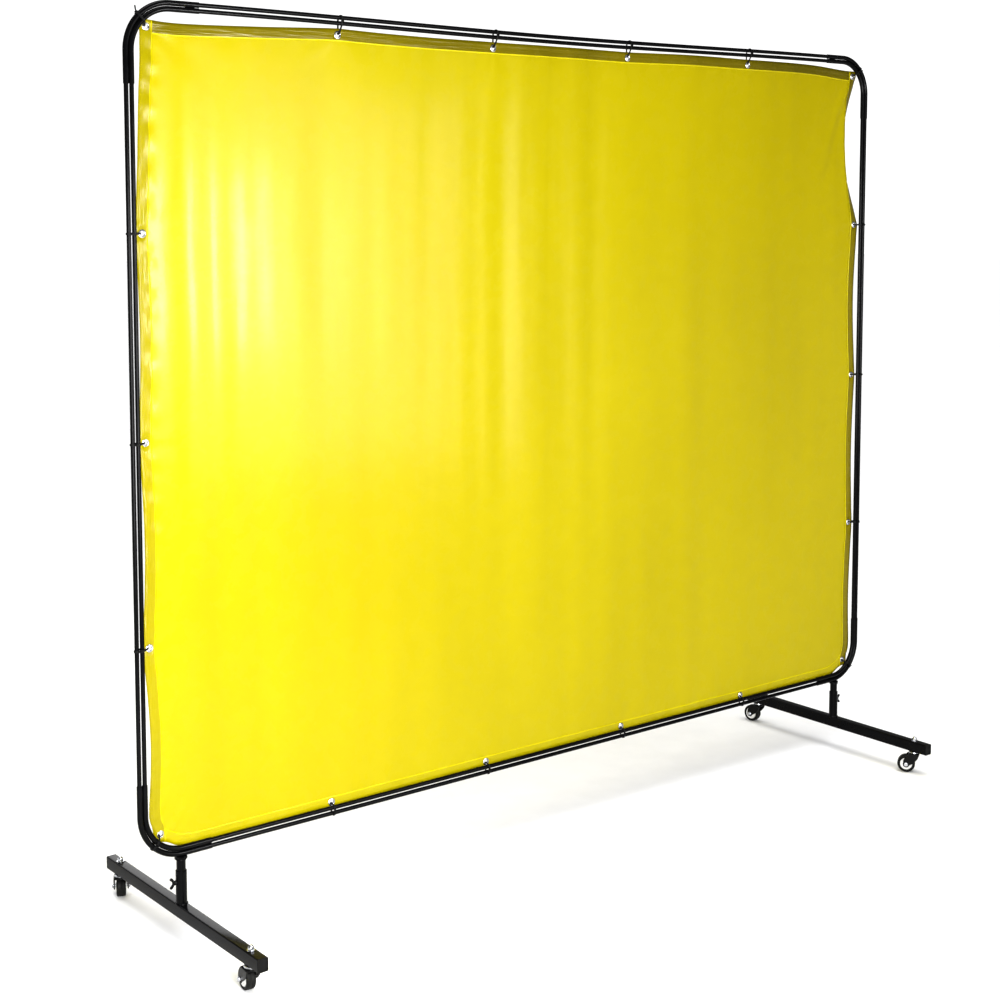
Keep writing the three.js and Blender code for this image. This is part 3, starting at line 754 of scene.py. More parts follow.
def hung_shape(u, v):
    """Where each place of the cloth hangs in the plane of the frame."""
    x, z = CURTAIN_LOW.x + u, CURTAIN_LOW.z + v
    fade = lambda d: np.clip(1 - d / SCALLOP_REACH, 0, 1) ** 2
    dx = scallop("left", v, CURTAIN_HEIGHT, TIES_UP) * fade(u)
    dx -= scallop("right", v, CURTAIN_HEIGHT, TIES_UP) * fade(CURTAIN_WIDTH - u)
    dz = scallop("bottom", u, CURTAIN_WIDTH, TIES_ACROSS) * fade(v)
    dz -= scallop("top", u, CURTAIN_WIDTH, TIES_ACROSS) * fade(CURTAIN_HEIGHT - v)
    dx += np.interp(u, grommets_along(CURTAIN_WIDTH, TIES_ACROSS), top_shifts()) * fade(CURTAIN_HEIGHT - v)
    sag = TOP_SAG / 2 * (1 + np.cos(TAU * np.clip(x / (2 * (HALF_WIDTH - REACH)), -0.5, 0.5)))
    dz -= sag * (v / CURTAIN_HEIGHT) ** 2
    corner_x = HALF_WIDTH - CORNER_GROMMET
    for sx in (-1, 1):
        for sz, pinned_z, flat_v in (
            (-1, FRAME_BOTTOM + CORNER_GROMMET, GROMMET_INSET),
            (1, FRAME_TOP - CORNER_GROMMET, CURTAIN_HEIGHT - GROMMET_INSET),
        ):
            flat_x = sx * (CURTAIN_WIDTH / 2 - GROMMET_INSET)
            flat_z = CURTAIN_LOW.z + flat_v
            near = np.exp(-((x - flat_x) ** 2 + (z - flat_z) ** 2) / CORNER_REACH[sz] ** 2)
            dx += (sx * corner_x - flat_x) * near
            dz += (pinned_z - flat_z) * near
    return x + dx, z + dz


def waves(u, v):
    """The soft vertical waves of the hanging film, on a scale of metres."""
    random = np.random.default_rng(21)
    up = v / CURTAIN_HEIGHT
    total = np.zeros_like(u)
    for length, height, drift in WAVES:
        phase = random.uniform(0, TAU)
        patch = 0.7 + 0.5 * np.sin(TAU * u / (random.uniform(0.9, 1.9)) + random.uniform(0, TAU) + 2.0 * up)
        bent = 0.35 * np.sin(2.2 * up + random.uniform(0, TAU))
        total += height * MM * patch * np.sin(TAU * u / (length * MM) + phase + drift * up + bent)
    edge = np.minimum(u, CURTAIN_WIDTH - u)
    held_side = np.clip(edge / (70 * MM), 0.15, 1)
    held_end = 0.35 + 0.65 * np.sin(math.pi * np.clip(up * 0.96 + 0.02, 0, 1)) ** 0.6
    left_more = 1.15 - 0.45 * u / CURTAIN_WIDTH
    return total * held_side * held_end * left_more


def run_cloth(u, v, start):
    """Lets the cloth hang from its pinned grommets, and gives each point's place."""
    count_u, count_v = u.shape
    index = np.arange(count_u * count_v).reshape(count_u, count_v)
    faces = np.stack(
        [index[:-1, :-1], index[1:, :-1], index[1:, 1:], index[:-1, 1:]], axis=-1
    ).reshape(-1, 4)
    points = start.reshape(-1, 3)
    obj = make_object("cloth_sim", points, faces.tolist(), None)
    obj.shape_key_add(name="Basis")
    rest = obj.shape_key_add(name="cut")
    x, z = hung_shape(u, v)
    middle_x, middle_z = 0.0, CURTAIN_MIDDLE
    flat = np.stack(
        [
            middle_x + (x - middle_x) * (1 + SLACK_ACROSS),
            np.full_like(x, CURTAIN_MIDDLE_Y),
            middle_z + (z - middle_z) * (1 + SLACK_UP),
        ],
        axis=-1,
    )
    rest.data.foreach_set("co", flat.reshape(-1))
    pins = obj.vertex_groups.new(name="pins")
    places_u, places_v = grommets_along(CURTAIN_WIDTH, TIES_ACROSS), grommets_along(CURTAIN_HEIGHT, TIES_UP)
    held = [
        int(index[np.argmin(abs(u[:, 0] - a)), np.argmin(abs(v[0] - b))])
        for i, a in enumerate(places_u)
        for j, b in enumerate(places_v)
        if i in (0, TIES_ACROSS - 1) or j in (0, TIES_UP - 1)
    ]
    pins.add(held, 1.0, "REPLACE")
    cloth = obj.modifiers.new("hang", "CLOTH")
    settings = cloth.settings
    settings.quality = 7
    settings.mass = 0.02
    settings.air_damping = 2.0
    settings.tension_stiffness = 220
    settings.compression_stiffness = 220
    settings.shear_stiffness = 60
    settings.bending_stiffness = 0.6
    settings.tension_damping = settings.compression_damping = 20
    settings.shear_damping = 20
    settings.bending_damping = 0.5
    settings.vertex_group_mass = "pins"
    settings.rest_shape_key = rest
    cloth.collision_settings.use_collision = False
    cloth.collision_settings.use_self_collision = False
    scene = bpy.context.scene
    cloth.point_cache.frame_start = 1
    cloth.point_cache.frame_end = SIM_FRAMES
    for number in range(1, SIM_FRAMES + 1):
        scene.frame_set(number)
    held_mesh = obj.evaluated_get(bpy.context.evaluated_depsgraph_get()).to_mesh()
    result = np.empty(len(points) * 3)
    held_mesh.vertices.foreach_get("co", result)
    scene.frame_set(1)
    bpy.data.objects.remove(obj)
    return result.reshape(count_u, count_v, 3)


def spline_matrix(known, wanted):
    """The matrix that takes values at the known places to a natural cubic spline's at the wanted."""
    n = len(known)
    h = np.diff(known)
    system = np.zeros((n, n))
    right = np.zeros((n, n))
    system[0, 0] = system[-1, -1] = 1
    for i in range(1, n - 1):
        system[i, i - 1 : i + 2] = h[i - 1], 2 * (h[i - 1] + h[i]), h[i]
        right[i, i - 1 : i + 2] = 6 / h[i - 1], -6 / h[i - 1] - 6 / h[i], 6 / h[i]
    second = np.linalg.solve(system, right)
    cell = np.clip(np.searchsorted(known, wanted, side="right") - 1, 0, n - 2)
    width = h[cell]
    a = (known[cell + 1] - wanted) / width
    b = 1 - a
    rows = np.arange(len(wanted))
    matrix = np.zeros((len(wanted), n))
    matrix[rows, cell] += a
    matrix[rows, cell + 1] += b
    scale = (width**2 / 6)[:, None]
    return matrix + scale * ((a**3 - a)[:, None] * second[cell] + (b**3 - b)[:, None] * second[cell + 1])


# Folds round the ties: height and reach in mm, and folds in a turn.
CORNER_FOLDS = (1.5, 75, 9)
EDGE_FOLDS = (0.8, 50, 7)
TIE_BARE = 12 * MM
HEM_FOLD = 1.1
HEM_PUCKER = 0.35
UPRIGHT_CREASES = ((1.150, 0.55), (1.775, 0.45))
CRUMPLE = 2.0
CREASE_START = 25 * MM
CREASE_LENGTH = 420 * MM
CREASE_DIRECTION = (-0.42, -0.91)
CREASE_VALLEY = 3.4
CREASE_RIDGE = 2.2


def wrinkles(u, v):
    """Small folds: round the ties, in the left hem, in a lower corner and an upper one."""
    total = np.zeros_like(u)
    places = []
    for i, a in enumerate(grommets_along(CURTAIN_WIDTH, TIES_ACROSS)):
        for j, b in enumerate(grommets_along(CURTAIN_HEIGHT, TIES_UP)):
            if i in (0, TIES_ACROSS - 1) or j in (0, TIES_UP - 1):
                places.append((a, b, i, j))
    random = np.random.default_rng(5)
    for a, b, i, j in places:
        r = np.hypot(u - a, v - b)
        angle = np.arctan2(v - b, u - a)
        corner = i in (0, TIES_ACROSS - 1) and j in (0, TIES_UP - 1)
        height, reach, lobes = CORNER_FOLDS if corner else EDGE_FOLDS
        height = height * MM
        rise = np.clip((r - TIE_BARE) / (25 * MM), 0, 1)
        fan = np.sin(lobes * angle + random.uniform(0, TAU))
        total += height * rise * np.exp(-r / (reach * MM)) * fan
    # diagonal folds down the left hem
    hem_fade = np.clip(1 - np.clip(u - HEM, 0, None) / (18 * MM), 0, 1) * np.clip(u / (12 * MM), 0.2, 1)
    fold = np.sin(TAU * (v + 0.8 * u) / (61 * MM) + 2.0 * np.sin(TAU * v / 0.43))
    fold += 0.8 * np.sin(TAU * (v - 1.1 * u) / (97 * MM) + 1.3 * np.sin(TAU * v / 0.77))
    upper = 0.5 + 0.5 * np.clip((v - 0.2) / 0.5, 0, 1)
    total += HEM_FOLD * MM * fold * hem_fade * upper
    # gentle puckers along the other hems
    for d, along, seed in ((CURTAIN_HEIGHT - v, u, 1.0), (v, u, 2.7), (CURTAIN_WIDTH - u, v, 4.1)):
        pucker = np.sin(TAU * along / (83 * MM) + 2 * np.sin(TAU * along / 0.37 + seed))
        total += HEM_PUCKER * MM * pucker * np.clip(1 - np.abs(d - HEM) / (26 * MM), 0, 1)
    # two thin upright creases from the way it was folded
    for line, height in UPRIGHT_CREASES:
        wander = 4 * MM * np.sin(TAU * v / 1.3)
        total += height * MM * np.exp(-(((u - line - wander) / (5 * MM)) ** 2)) * np.clip(v * 4, 0, 1)
    # the crumpled lower left corner
    near = np.exp(-((u - 55 * MM) ** 2 + (v - 50 * MM) ** 2) / (62 * MM) ** 2)
    total += CRUMPLE * MM * near * np.sin(TAU * (u - 0.7 * v) / (34 * MM))
    # the crease from the upper right tie
    cu, cv = u - (CURTAIN_WIDTH - CREASE_START), v - (CURTAIN_HEIGHT - CREASE_START)
    direction = np.array(CREASE_DIRECTION)
    along = cu * direction[0] + cv * direction[1]
    across = -cu * direction[1] + cv * direction[0]
    run = np.clip(along / (60 * MM), 0, 1) * np.clip(1 - along / CREASE_LENGTH, 0, 1)
    total -= CREASE_VALLEY * MM * run * np.exp(-((across / (13 * MM)) ** 2))
    total += CREASE_RIDGE * MM * run * np.exp(-(((across - 26 * MM) / (16 * MM)) ** 2))
    return total


def grid_normals(points):
    du = np.gradient(points, axis=0)
    dv = np.gradient(points, axis=1)
    normals = np.cross(du, dv)
    return normals / np.linalg.norm(normals, axis=-1)[..., None]


def softened(field, passes):
    """A grid of values with the ripples of one or two cells taken out, which a film is too stiff for."""
    for _ in range(passes):
        padded = np.pad(field, ((1, 1), (0, 0), (0, 0)), mode="edge")
        field = (padded[:-2] + 2 * padded[1:-1] + padded[2:]) / 4
        padded = np.pad(field, ((0, 0), (1, 1), (0, 0)), mode="edge")
        field = (padded[:, :-2] + 2 * padded[:, 1:-1] + padded[:, 2:]) / 4
    return field


def make_curtain_grid():
    coarse_u, coarse_v = cloth_lines(CURTAIN_WIDTH, TIES_ACROSS), cloth_lines(CURTAIN_HEIGHT, TIES_UP)
    u, v = np.meshgrid(coarse_u, coarse_v, indexing="ij")
    x, z = hung_shape(u, v)
    start = np.stack([x, CURTAIN_MIDDLE_Y + waves(u, v), z], axis=-1)
    points = run_cloth(u, v, start)
    moved = softened(np.clip(points - start, -14 * MM, 14 * MM), SOFTENING)
    points = start + moved
    fine_u, fine_v = fine_lines(CURTAIN_WIDTH, TIES_ACROSS), fine_lines(CURTAIN_HEIGHT, TIES_UP)
    across, up = spline_matrix(coarse_u, fine_u), spline_matrix(coarse_v, fine_v)
    fine = np.einsum("ia,abk,jb->ijk", across, points, up)
    u, v = np.meshgrid(fine_u, fine_v, indexing="ij")
    fine[..., 1] += wrinkles(u, v)
    # the right hem curls to the back between its two upper ties
    upper = grommets_along(CURTAIN_HEIGHT, TIES_UP)[-2:]
    t = np.clip((v - upper[0]) / (upper[1] - upper[0]), 0, 1)
    turn = CURL * np.sin(math.pi * t) ** 0.8
    past = np.clip(u - (CURTAIN_WIDTH - HEM), 0, None)
    fine[..., 0] -= past * (1 - np.cos(turn))
    fine[..., 1] += past * np.sin(turn)
    # clear of the tubes where the cloth passes behind them
    ring = INNER_LINE + CORNER_RADIUS + 2 * MM
    arc = BEND_RADIUS + OUTER_LINE
    side = np.minimum(HALF_WIDTH - np.abs(fine[..., 0]), 1.0)
    end = np.minimum(fine[..., 2] - FRAME_BOTTOM, FRAME_TOP - fine[..., 2])
    depth = np.minimum(side, end)
    in_corner = (side < arc) & (end < arc)
    depth = np.where(in_corner, arc - np.hypot(arc - side, arc - end), depth)
    over = np.clip((ring - depth) / (8 * MM), 0, 1)
    least = TUBE_BACK + 1.2 * MM
    fine[..., 1] = np.where(
        fine[..., 1] < least, fine[..., 1] + (least - fine[..., 1]) * over, fine[..., 1]
    )
    return fine_u, fine_v, fine


def cloth_piece(name, grid, rows, columns, offset, material_of, holes, thickness=FILM):
    """Part of the cloth's grid as a closed film, moved to the front by an offset."""
    fine_u, fine_v, points = grid
    normals = grid_normals(points)
    normals *= np.sign(normals[..., 1:2].mean())
    block = (points - normals * offset)[rows[0] : rows[1] + 1, columns[0] : columns[1] + 1].copy()
    u, v = fine_u[rows[0] : rows[1] + 1], fine_v[columns[0] : columns[1] + 1]
    count_u, count_v = len(u), len(v)
    index = np.arange(count_u * count_v).reshape(count_u, count_v)
    skipped = set()
    for a, b in holes:
        i, j = np.argmin(abs(u - a)), np.argmin(abs(v - b))
        if abs(u[i] - a) > 1e-5 or abs(v[j] - b) > 1e-5:
            continue
        skipped |= {(i - 1, j - 1), (i, j - 1), (i - 1, j), (i, j)}
        for di in (-1, 1):
            for dj in (-1, 1):
                if 0 <= i + di < count_u and 0 <= j + dj < count_v:
                    block[i + di, j + dj] = block[i, j] + (
                        block[i + di, j + dj] - block[i, j]
                    ) / math.sqrt(2)
    faces, slots = [], []
    for i in range(count_u - 1):
        for j in range(count_v - 1):
            if (i, j) in skipped:
                continue
            faces.append((index[i, j], index[i + 1, j], index[i + 1, j + 1], index[i, j + 1]))
            slots.append(material_of((u[i] + u[i + 1]) / 2, (v[j] + v[j + 1]) / 2))
    used = sorted({k for face in faces for k in face})
    renumber = {k: n for n, k in enumerate(used)}
    flat = block.reshape(-1, 3)
    obj = make_object(name, [flat[k] for k in used], [[renumber[k] for k in face] for face in faces], None)
    # Slots 1 and 4 hold hem film with painted shade, and slots 3 and 5 hold hem film with painted light.
    for key in ("vinyl", "hem", "weld", "bottom_hem_painted_light", "right_hem_painted_shade", "left_hem_painted_light"):
        obj.data.materials.append(MATERIALS[key])
    obj.data.polygons.foreach_set("material_index", slots)
    solid = obj.modifiers.new("film", "SOLIDIFY")
    solid.thickness = thickness
    solid.offset = 0
    bpy.context.view_layer.objects.active = obj
    bpy.ops.object.modifier_apply(modifier=solid.name)
    obj.data.shade_smooth()
    return obj


def make_curtain():
    grid = make_curtain_grid()
    fine_u, fine_v, points = grid
    holes = [
        (a, b)
        for i, a in enumerate(grommets_along(CURTAIN_WIDTH, TIES_ACROSS))
        for j, b in enumerate(grommets_along(CURTAIN_HEIGHT, TIES_UP))
        if i in (0, TIES_ACROSS - 1) or j in (0, TIES_UP - 1)
    ]
    last_u, last_v = len(fine_u) - 1, len(fine_v) - 1
    hem_u, hem_v = int(np.argmin(abs(fine_u - HEM))), int(np.argmin(abs(fine_v - HEM)))
    top_v = int(np.argmin(abs(fine_v - (CURTAIN_HEIGHT - HEM))))
    right_u = int(np.argmin(abs(fine_u - (CURTAIN_WIDTH - HEM))))

    # These slots give the top and right edges the hem film with painted shade, and the left and bottom
    # edges the hem film with painted light.
    def sheet_slot(a, b):
        if min(CURTAIN_WIDTH - a, CURTAIN_HEIGHT - b) < HEM:
            return 1
        return 3 if min(a, b) < HEM else 0

    def side_slot(a, b):
        if min(a, CURTAIN_WIDTH - a) > HEM - WELD_WIDTH:
            return 2
        return 4 if a > CURTAIN_WIDTH / 2 else 5

    def end_slot(a, b):
        if min(b, CURTAIN_HEIGHT - b) > HEM - WELD_WIDTH:
            return 2
        return 1 if b > CURTAIN_HEIGHT / 2 else 3

    sheet = cloth_piece("curtain_film", grid, (0, last_u), (0, last_v), 0, sheet_slot, holes)
    hems = [
        cloth_piece("hem_left", grid, (0, hem_u), (0, last_v), 1.25 * MM, side_slot, holes),
        cloth_piece("hem_right", grid, (right_u, last_u), (0, last_v), 1.25 * MM, side_slot, holes),
        cloth_piece("hem_bottom", grid, (0, last_u), (0, hem_v), 0.62 * MM, end_slot, holes),
        cloth_piece("hem_top", grid, (0, last_u), (top_v, last_v), 0.62 * MM, end_slot, holes),
    ]
    normals = grid_normals(points)
    grommets = []
    for number, (a, b) in enumerate(holes):
        i, j = int(np.argmin(abs(fine_u - a))), int(np.argmin(abs(fine_v - b)))
        axis = Vector(normals[i, j])
        if axis.y > 0:
            axis = -axis
        ring = grommet(f"grommet_{number + 1}")
        place(
            ring,
            Matrix.Translation(Vector(points[i, j])) @ axis.to_track_quat("Z", "Y").to_matrix().to_4x4()
        )
        grommets.append(ring)
    rings = join("grommets", grommets)
    for piece in [sheet, *hems]:
        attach(piece, "screen")
    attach(rings, "screen")
    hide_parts("curtain")


def grommet(name):
    """A swaged two-piece grommet: a domed flange in front, a neck and a flatter flange behind."""
    hole, rim = GROMMET_HOLE, GROMMET_RADIUS
    profile = [
        (hole, -1.2 * MM),
        (hole, 1.4 * MM),
        (hole + 0.35 * MM, 2.25 * MM),
        (hole + 1.1 * MM, 2.6 * MM),
        (hole + 2.1 * MM, 2.4 * MM),
        (rim - 0.5 * MM, 1.75 * MM),
        (rim, 1.45 * MM),
        (rim, 1.2 * MM),
        (rim - 0.4 * MM, 1.15 * MM),
        (hole + 1.0 * MM, 1.3 * MM),
        (hole + 1.0 * MM, -0.5 * MM),
        (rim - 0.6 * MM, -0.5 * MM),
        (rim - 0.5 * MM, -0.8 * MM),
        (hole + 1.6 * MM, -1.15 * MM),
        (hole + 0.5 * MM, -1.5 * MM),
    ]
    return lathe(name, profile, MATERIALS["zinc"], 40)


# ---- cable ties ----
TIE_WIDTH = 4.6 * MM
TIE_THICKNESS = 1.3 * MM
TIE_BACK = 9.0 * MM
TIE_CLEAR = 0.3 * MM


def hull(points):
    points = sorted(map(tuple, points))

    def chain(items):
        kept = []
        for p in items:
            while len(kept) > 1:
                a, b = kept[-2], kept[-1]
                if (b[0] - a[0]) * (p[1] - a[1]) - (b[1] - a[1]) * (p[0] - a[0]) > 1e-12:
                    break
                kept.pop()
            kept.append(p)
        return kept[:-1]

    return np.array(chain(points) + chain(points[::-1]))


def even_loop(loop, count):
    """The closed line with its points evenly spaced."""
    closed = np.vstack([loop, loop[:1]])
    run = length_along(closed)
    wanted = np.linspace(0, run[-1], count, endpoint=False)
    return np.stack([np.interp(wanted, run, closed[:, k]) for k in range(closed.shape[1])], axis=1)


def tie(name, x, z, inward, depth, on_corner, tail, seed):
    """A cable tie round both tubes and through the grommet. x runs inwards and y to the back."""
    random = np.random.default_rng(seed)
    radius = (CORNER_RADIUS if on_corner else TUBE_RADIUS) + TIE_CLEAR
    circles = [
        (OUTER_LINE, 0, radius),
        (INNER_LINE, 0, radius),
        (OUTER_LINE + 5 * MM, TIE_BACK - 0.3 * MM, 2.0 * MM),
        (depth - 4.2 * MM, TIE_BACK + 1.0 * MM, 2.0 * MM),
    ]
    ring = []
    for cx, cy, r in circles:
        ring += polygon_circle(r, 32, (cx, cy))
    inner = even_loop(hull(ring), 120)
    centre = inner.mean(axis=0)
    tangent = np.roll(inner, -1, axis=0) - np.roll(inner, 1, axis=0)
    normal = np.stack([tangent[:, 1], -tangent[:, 0]], axis=1)
    normal /= np.linalg.norm(normal, axis=1)[:, None]
    normal *= np.sign(np.sum(normal * (inner - centre), axis=1))[:, None]
    rib = 0.16 * MM * (np.arange(len(inner)) % 2)
    half = TIE_WIDTH / 2
    ease = 0.35 * MM
    section = [
        (0, -half + ease),
        (ease, -half),
        (TIE_THICKNESS - ease, -half),
        (TIE_THICKNESS, -half + ease),
        (TIE_THICKNESS, -half + 1.1 * MM),
        (TIE_THICKNESS, half - 1.1 * MM),
        (TIE_THICKNESS, half - ease),
        (TIE_THICKNESS - ease, half),
        (ease, half),
        (0, half - ease),
    ]
    vertices = []
    for k, (point, out) in enumerate(zip(inner, normal)):
        for n, (away, side) in enumerate(section):
            lift = away - (rib[k] if n in (4, 5) else 0)
            vertices.append((*(point + out * lift), side))
    rings, sides = len(inner), len(section)
    faces = []
    for k in range(rings):
        for n in range(sides):
            m, j = (n + 1) % sides, (k + 1) % rings
            faces.append((k * sides + n, k * sides + m, j * sides + m, j * sides + n))
    band = tidy_normals(make_object(f"{name}_band", vertices, faces, MATERIALS["nylon"]), 40)
    pieces = [band]
    # the head, on the front or the outer side, with the cut tail through it
    middle_line = (OUTER_LINE + INNER_LINE) / 2
    head_at = Vector((middle_line, -radius - TIE_THICKNESS, 0))
    head_out = Vector((0, -1, 0))
    if tail > 15 * MM:
        head_at = Vector((OUTER_LINE - (radius + TIE_THICKNESS) * 0.87, -(radius + TIE_THICKNESS) * 0.5, 0))
        head_out = Vector((-0.87, -0.5, 0))
    turn = head_out.to_track_quat("Z", "X").to_matrix().to_4x4()
    outline = rectangle(3.1 * MM, 3.4 * MM, 1.2 * MM)
    head = slab(f"{name}_head", outline, -0.6 * MM, 4.0 * MM, MATERIALS["nylon"], 0.5 * MM)
    window = rectangle(1.1 * MM, 2.2 * MM, 0.4 * MM)
    pocket = slab(f"{name}_pocket", window, 3.1 * MM, 6 * MM, MATERIALS["nylon"])
    head = cut(head, [pocket])
    place(head, Matrix.Translation(head_at) @ turn)
    pieces.append(head)
    count = 14
    lean = random.uniform(-0.25, 0.25)
    tongue = []
    for s in np.linspace(-1.2 * MM, tail, count):
        curl = 0.22 * (max(s, 0) / (24 * MM)) ** 2 * 24 * MM
        tongue.append((curl, lean * max(s, 0), s + 3.0 * MM))
    strip_vertices, strip_faces = [], []
    width = 1.9 * MM
    for k, (a, b, c) in enumerate(tongue):
        narrow = 0.55 if tail > 15 * MM and k == count - 1 else 1.0
        for p, q in ((-0.5 * MM, -width), (0.5 * MM, -width), (0.5 * MM, width), (-0.5 * MM, width)):
            strip_vertices.append((a + p, b + q * narrow, c))
        if k:
            for n in range(4):
                m = (n + 1) % 4
                strip_faces.append(((k - 1) * 4 + n, (k - 1) * 4 + m, k * 4 + m, k * 4 + n))
    strip_faces += [(3, 2, 1, 0), tuple((count - 1) * 4 + n for n in range(4))]
    strip = tidy_normals(make_object(f"{name}_tail", strip_vertices, strip_faces, MATERIALS["nylon"]), 40)
    place(strip, Matrix.Translation(head_at) @ turn)
    pieces.append(strip)
    obj = join(f"{name}_strap", pieces)
    along = Vector((math.cos(inward), 0, math.sin(inward)))
    back = Vector((0, 1, 0))
    frame_matrix = Matrix.Identity(4)
    for row, axis in enumerate((along, back, along.cross(back))):
        for k in range(3):
            frame_matrix[k][row] = axis[k]
    origin = Vector((x, 0, z)) - along * depth
    place(obj, Matrix.Translation(origin) @ frame_matrix)
    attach(obj, "screen")
    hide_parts(name)


def add_ties():
    left = CURTAIN_LOW.x + GROMMET_INSET
    low, high = CURTAIN_LOW.z + GROMMET_INSET, CURTAIN_HIGH.z - GROMMET_INSET
    across = CURTAIN_LOW.x + grommets_along(CURTAIN_WIDTH, TIES_ACROSS)
    up = CURTAIN_LOW.z + grommets_along(CURTAIN_HEIGHT, TIES_UP)
    for i in range(1, TIES_ACROSS - 1):
        x = across[i]
        tie(f"tie_bottom_{i}", x, low, math.pi / 2, low - FRAME_BOTTOM, False, 5 * MM, 30 + i)
        x = middle(f"tie_top_{i}").x
        tie(f"tie_top_{i}", x, high - sag_at(x), -math.pi / 2, FRAME_TOP - high, False, 4 * MM, 40 + i)
    for i in range(1, TIES_UP - 1):
        tie(f"tie_left_{i}", left, up[i], 0, left + HALF_WIDTH, False, 4 * MM, 50 + i)
        tie(f"tie_right_{i}", -left, up[i], math.pi, left + HALF_WIDTH, False, 5 * MM, 60 + i)
    arc = BEND_RADIUS + OUTER_LINE
    depth = arc - (arc - CORNER_GROMMET) * math.sqrt(2)
    for n, (side, sx) in enumerate((("left", -1), ("right", 1))):
        for m, (level, sz) in enumerate((("bottom", -1), ("top", 1))):
            x = sx * (HALF_WIDTH - CORNER_GROMMET)
            z = (FRAME_BOTTOM + FRAME_TOP) / 2 + sz * ((FRAME_TOP - FRAME_BOTTOM) / 2 - CORNER_GROMMET)
            tail = 17 * MM if (side, level) == ("left", "top") else 6 * MM
            tie(f"tie_{level}_{side}", x, z, math.atan2(-sz, -sx), depth, True, tail, 70 + 2 * n + m)


# ---- feet ----
SOCKET_RADIUS = 12.5 * MM
SOCKET_BORE = 11.1 * MM
BAR_CORNER = 3.2 * MM
SCREW_HEIGHT = 50 * MM
LIP = 2 * MM


def bar_outline(width, height, radius, steps=5):
    return rectangle(width / 2, height / 2, radius, steps)


def foot(side, outward):
    name = f"foot_bar_{side}"
    black = MATERIALS["black"]
    x = outward * POST_X
    height = BAR_TOP - BAR_BOTTOM
    centre = (BAR_BOTTOM + BAR_TOP) / 2
    outline = bar_outline(BAR_WIDTH, height, BAR_CORNER)
    bar = slab(f"{name}_bar", outline, -BAR_HALF_LENGTH, BAR_HALF_LENGTH, black, 0.25 * MM)
    hollow = bar_outline(BAR_WIDTH - 2 * BAR_WALL, height - 2 * BAR_WALL, BAR_CORNER - BAR_WALL)
    for low, high in ((-1, 14 * MM - BAR_HALF_LENGTH), (BAR_HALF_LENGTH - 14 * MM, 1)):
        bar = cut(bar, [slab(f"{name}_hollow", hollow, low, high, black)])
    place(bar, Matrix.Translation((x, 0, centre)) @ Matrix.Rotation(math.pi / 2, 4, "X"))
    socket = lathe(
        f"{name}_socket",
        [
            (SOCKET_BORE, BAR_TOP + 0.5 * MM),
            (SOCKET_BORE, SOCKET_TOP - 0.4 * MM),
            (SOCKET_BORE + 0.4 * MM, SOCKET_TOP),
            (SOCKET_RADIUS - 0.5 * MM, SOCKET_TOP),
            (SOCKET_RADIUS, SOCKET_TOP - 0.5 * MM),
            (SOCKET_RADIUS, BAR_TOP - 0.6 * MM),
            (SOCKET_BORE, BAR_TOP - 0.6 * MM),
        ],
        black,
        64,
    )
    hole = lathe(f"{name}_hole", [(0, 0), (3.5 * MM, 0), (3.5 * MM, 30 * MM), (0, 30 * MM)], black, 24)
    place(
        hole,
        Matrix.Translation((0, 0, BAR_TOP + SCREW_HEIGHT)) @ Matrix.Rotation(outward * math.pi / 2, 4, "Y")
    )
    socket = cut(socket, [hole])
    place(socket, Matrix.Translation((x, 0, 0)))
    bead = weld_bead(
        f"{name}_bead", ring_points(SOCKET_RADIUS + 0.3 * MM, BAR_TOP + 0.3 * MM, 56, (x, 0)), 1.7 * MM, 3
    )
    nut_radius = 6.2 * MM
    boss = lathe(
        f"{name}_boss",
        [
            (3.4 * MM, SOCKET_RADIUS - 0.6 * MM),
            (nut_radius, SOCKET_RADIUS - 0.6 * MM),
            (nut_radius, SOCKET_RADIUS + 0.2 * MM),
            (3.4 * MM, SOCKET_RADIUS + 0.2 * MM),
        ],
        black,
        24,
    )
    place(
        boss,
        Matrix.Translation((x, 0, BAR_TOP + SCREW_HEIGHT)) @ Matrix.Rotation(outward * math.pi / 2, 4, "Y")
    )
    body = join(f"{name}_weldment", [bar, socket, bead, boss])
    tidy_normals(body, 32)
    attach(body, f"foot_{side}")
    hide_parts(name)
    for end, facing in (("front", -1), ("rear", 1)):
        end_plug(side, end, facing, x, centre, height)


def end_plug(side, end, facing, x, centre, height):
    """A moulded plug: a lip over the tube's end, a shallow dish in it, and a tongue inside the tube."""
    name = f"plug_{end}_{side}"
    nylon = MATERIALS["nylon"]
    lip = slab(f"{name}_lip", bar_outline(BAR_WIDTH, height, BAR_CORNER), FIT, LIP + FIT, nylon, 0.7 * MM)
    dish = slab(
        f"{name}_dish", bar_outline(BAR_WIDTH - 5 * MM, height - 5 * MM, 2 * MM), LIP - 1.1 * MM, 1, nylon
    )
    lip = cut(lip, [dish])
    inner = bar_outline(
        BAR_WIDTH - 2 * BAR_WALL - 2 * FIT, height - 2 * BAR_WALL - 2 * FIT, BAR_CORNER - BAR_WALL
    )
    tongue = slab(f"{name}_tongue", inner, -13 * MM, 0.8 * MM, nylon, 0.4 * MM)
    plug = join(f"{name}_moulding", [lip, tongue])
    turn = Matrix.Rotation(-facing * math.pi / 2, 4, "X")
    place(plug, Matrix.Translation((x, facing * BAR_HALF_LENGTH, centre)) @ turn)
    tidy_normals(plug, 32)
    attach(plug, f"foot_{side}")
    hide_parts(name)


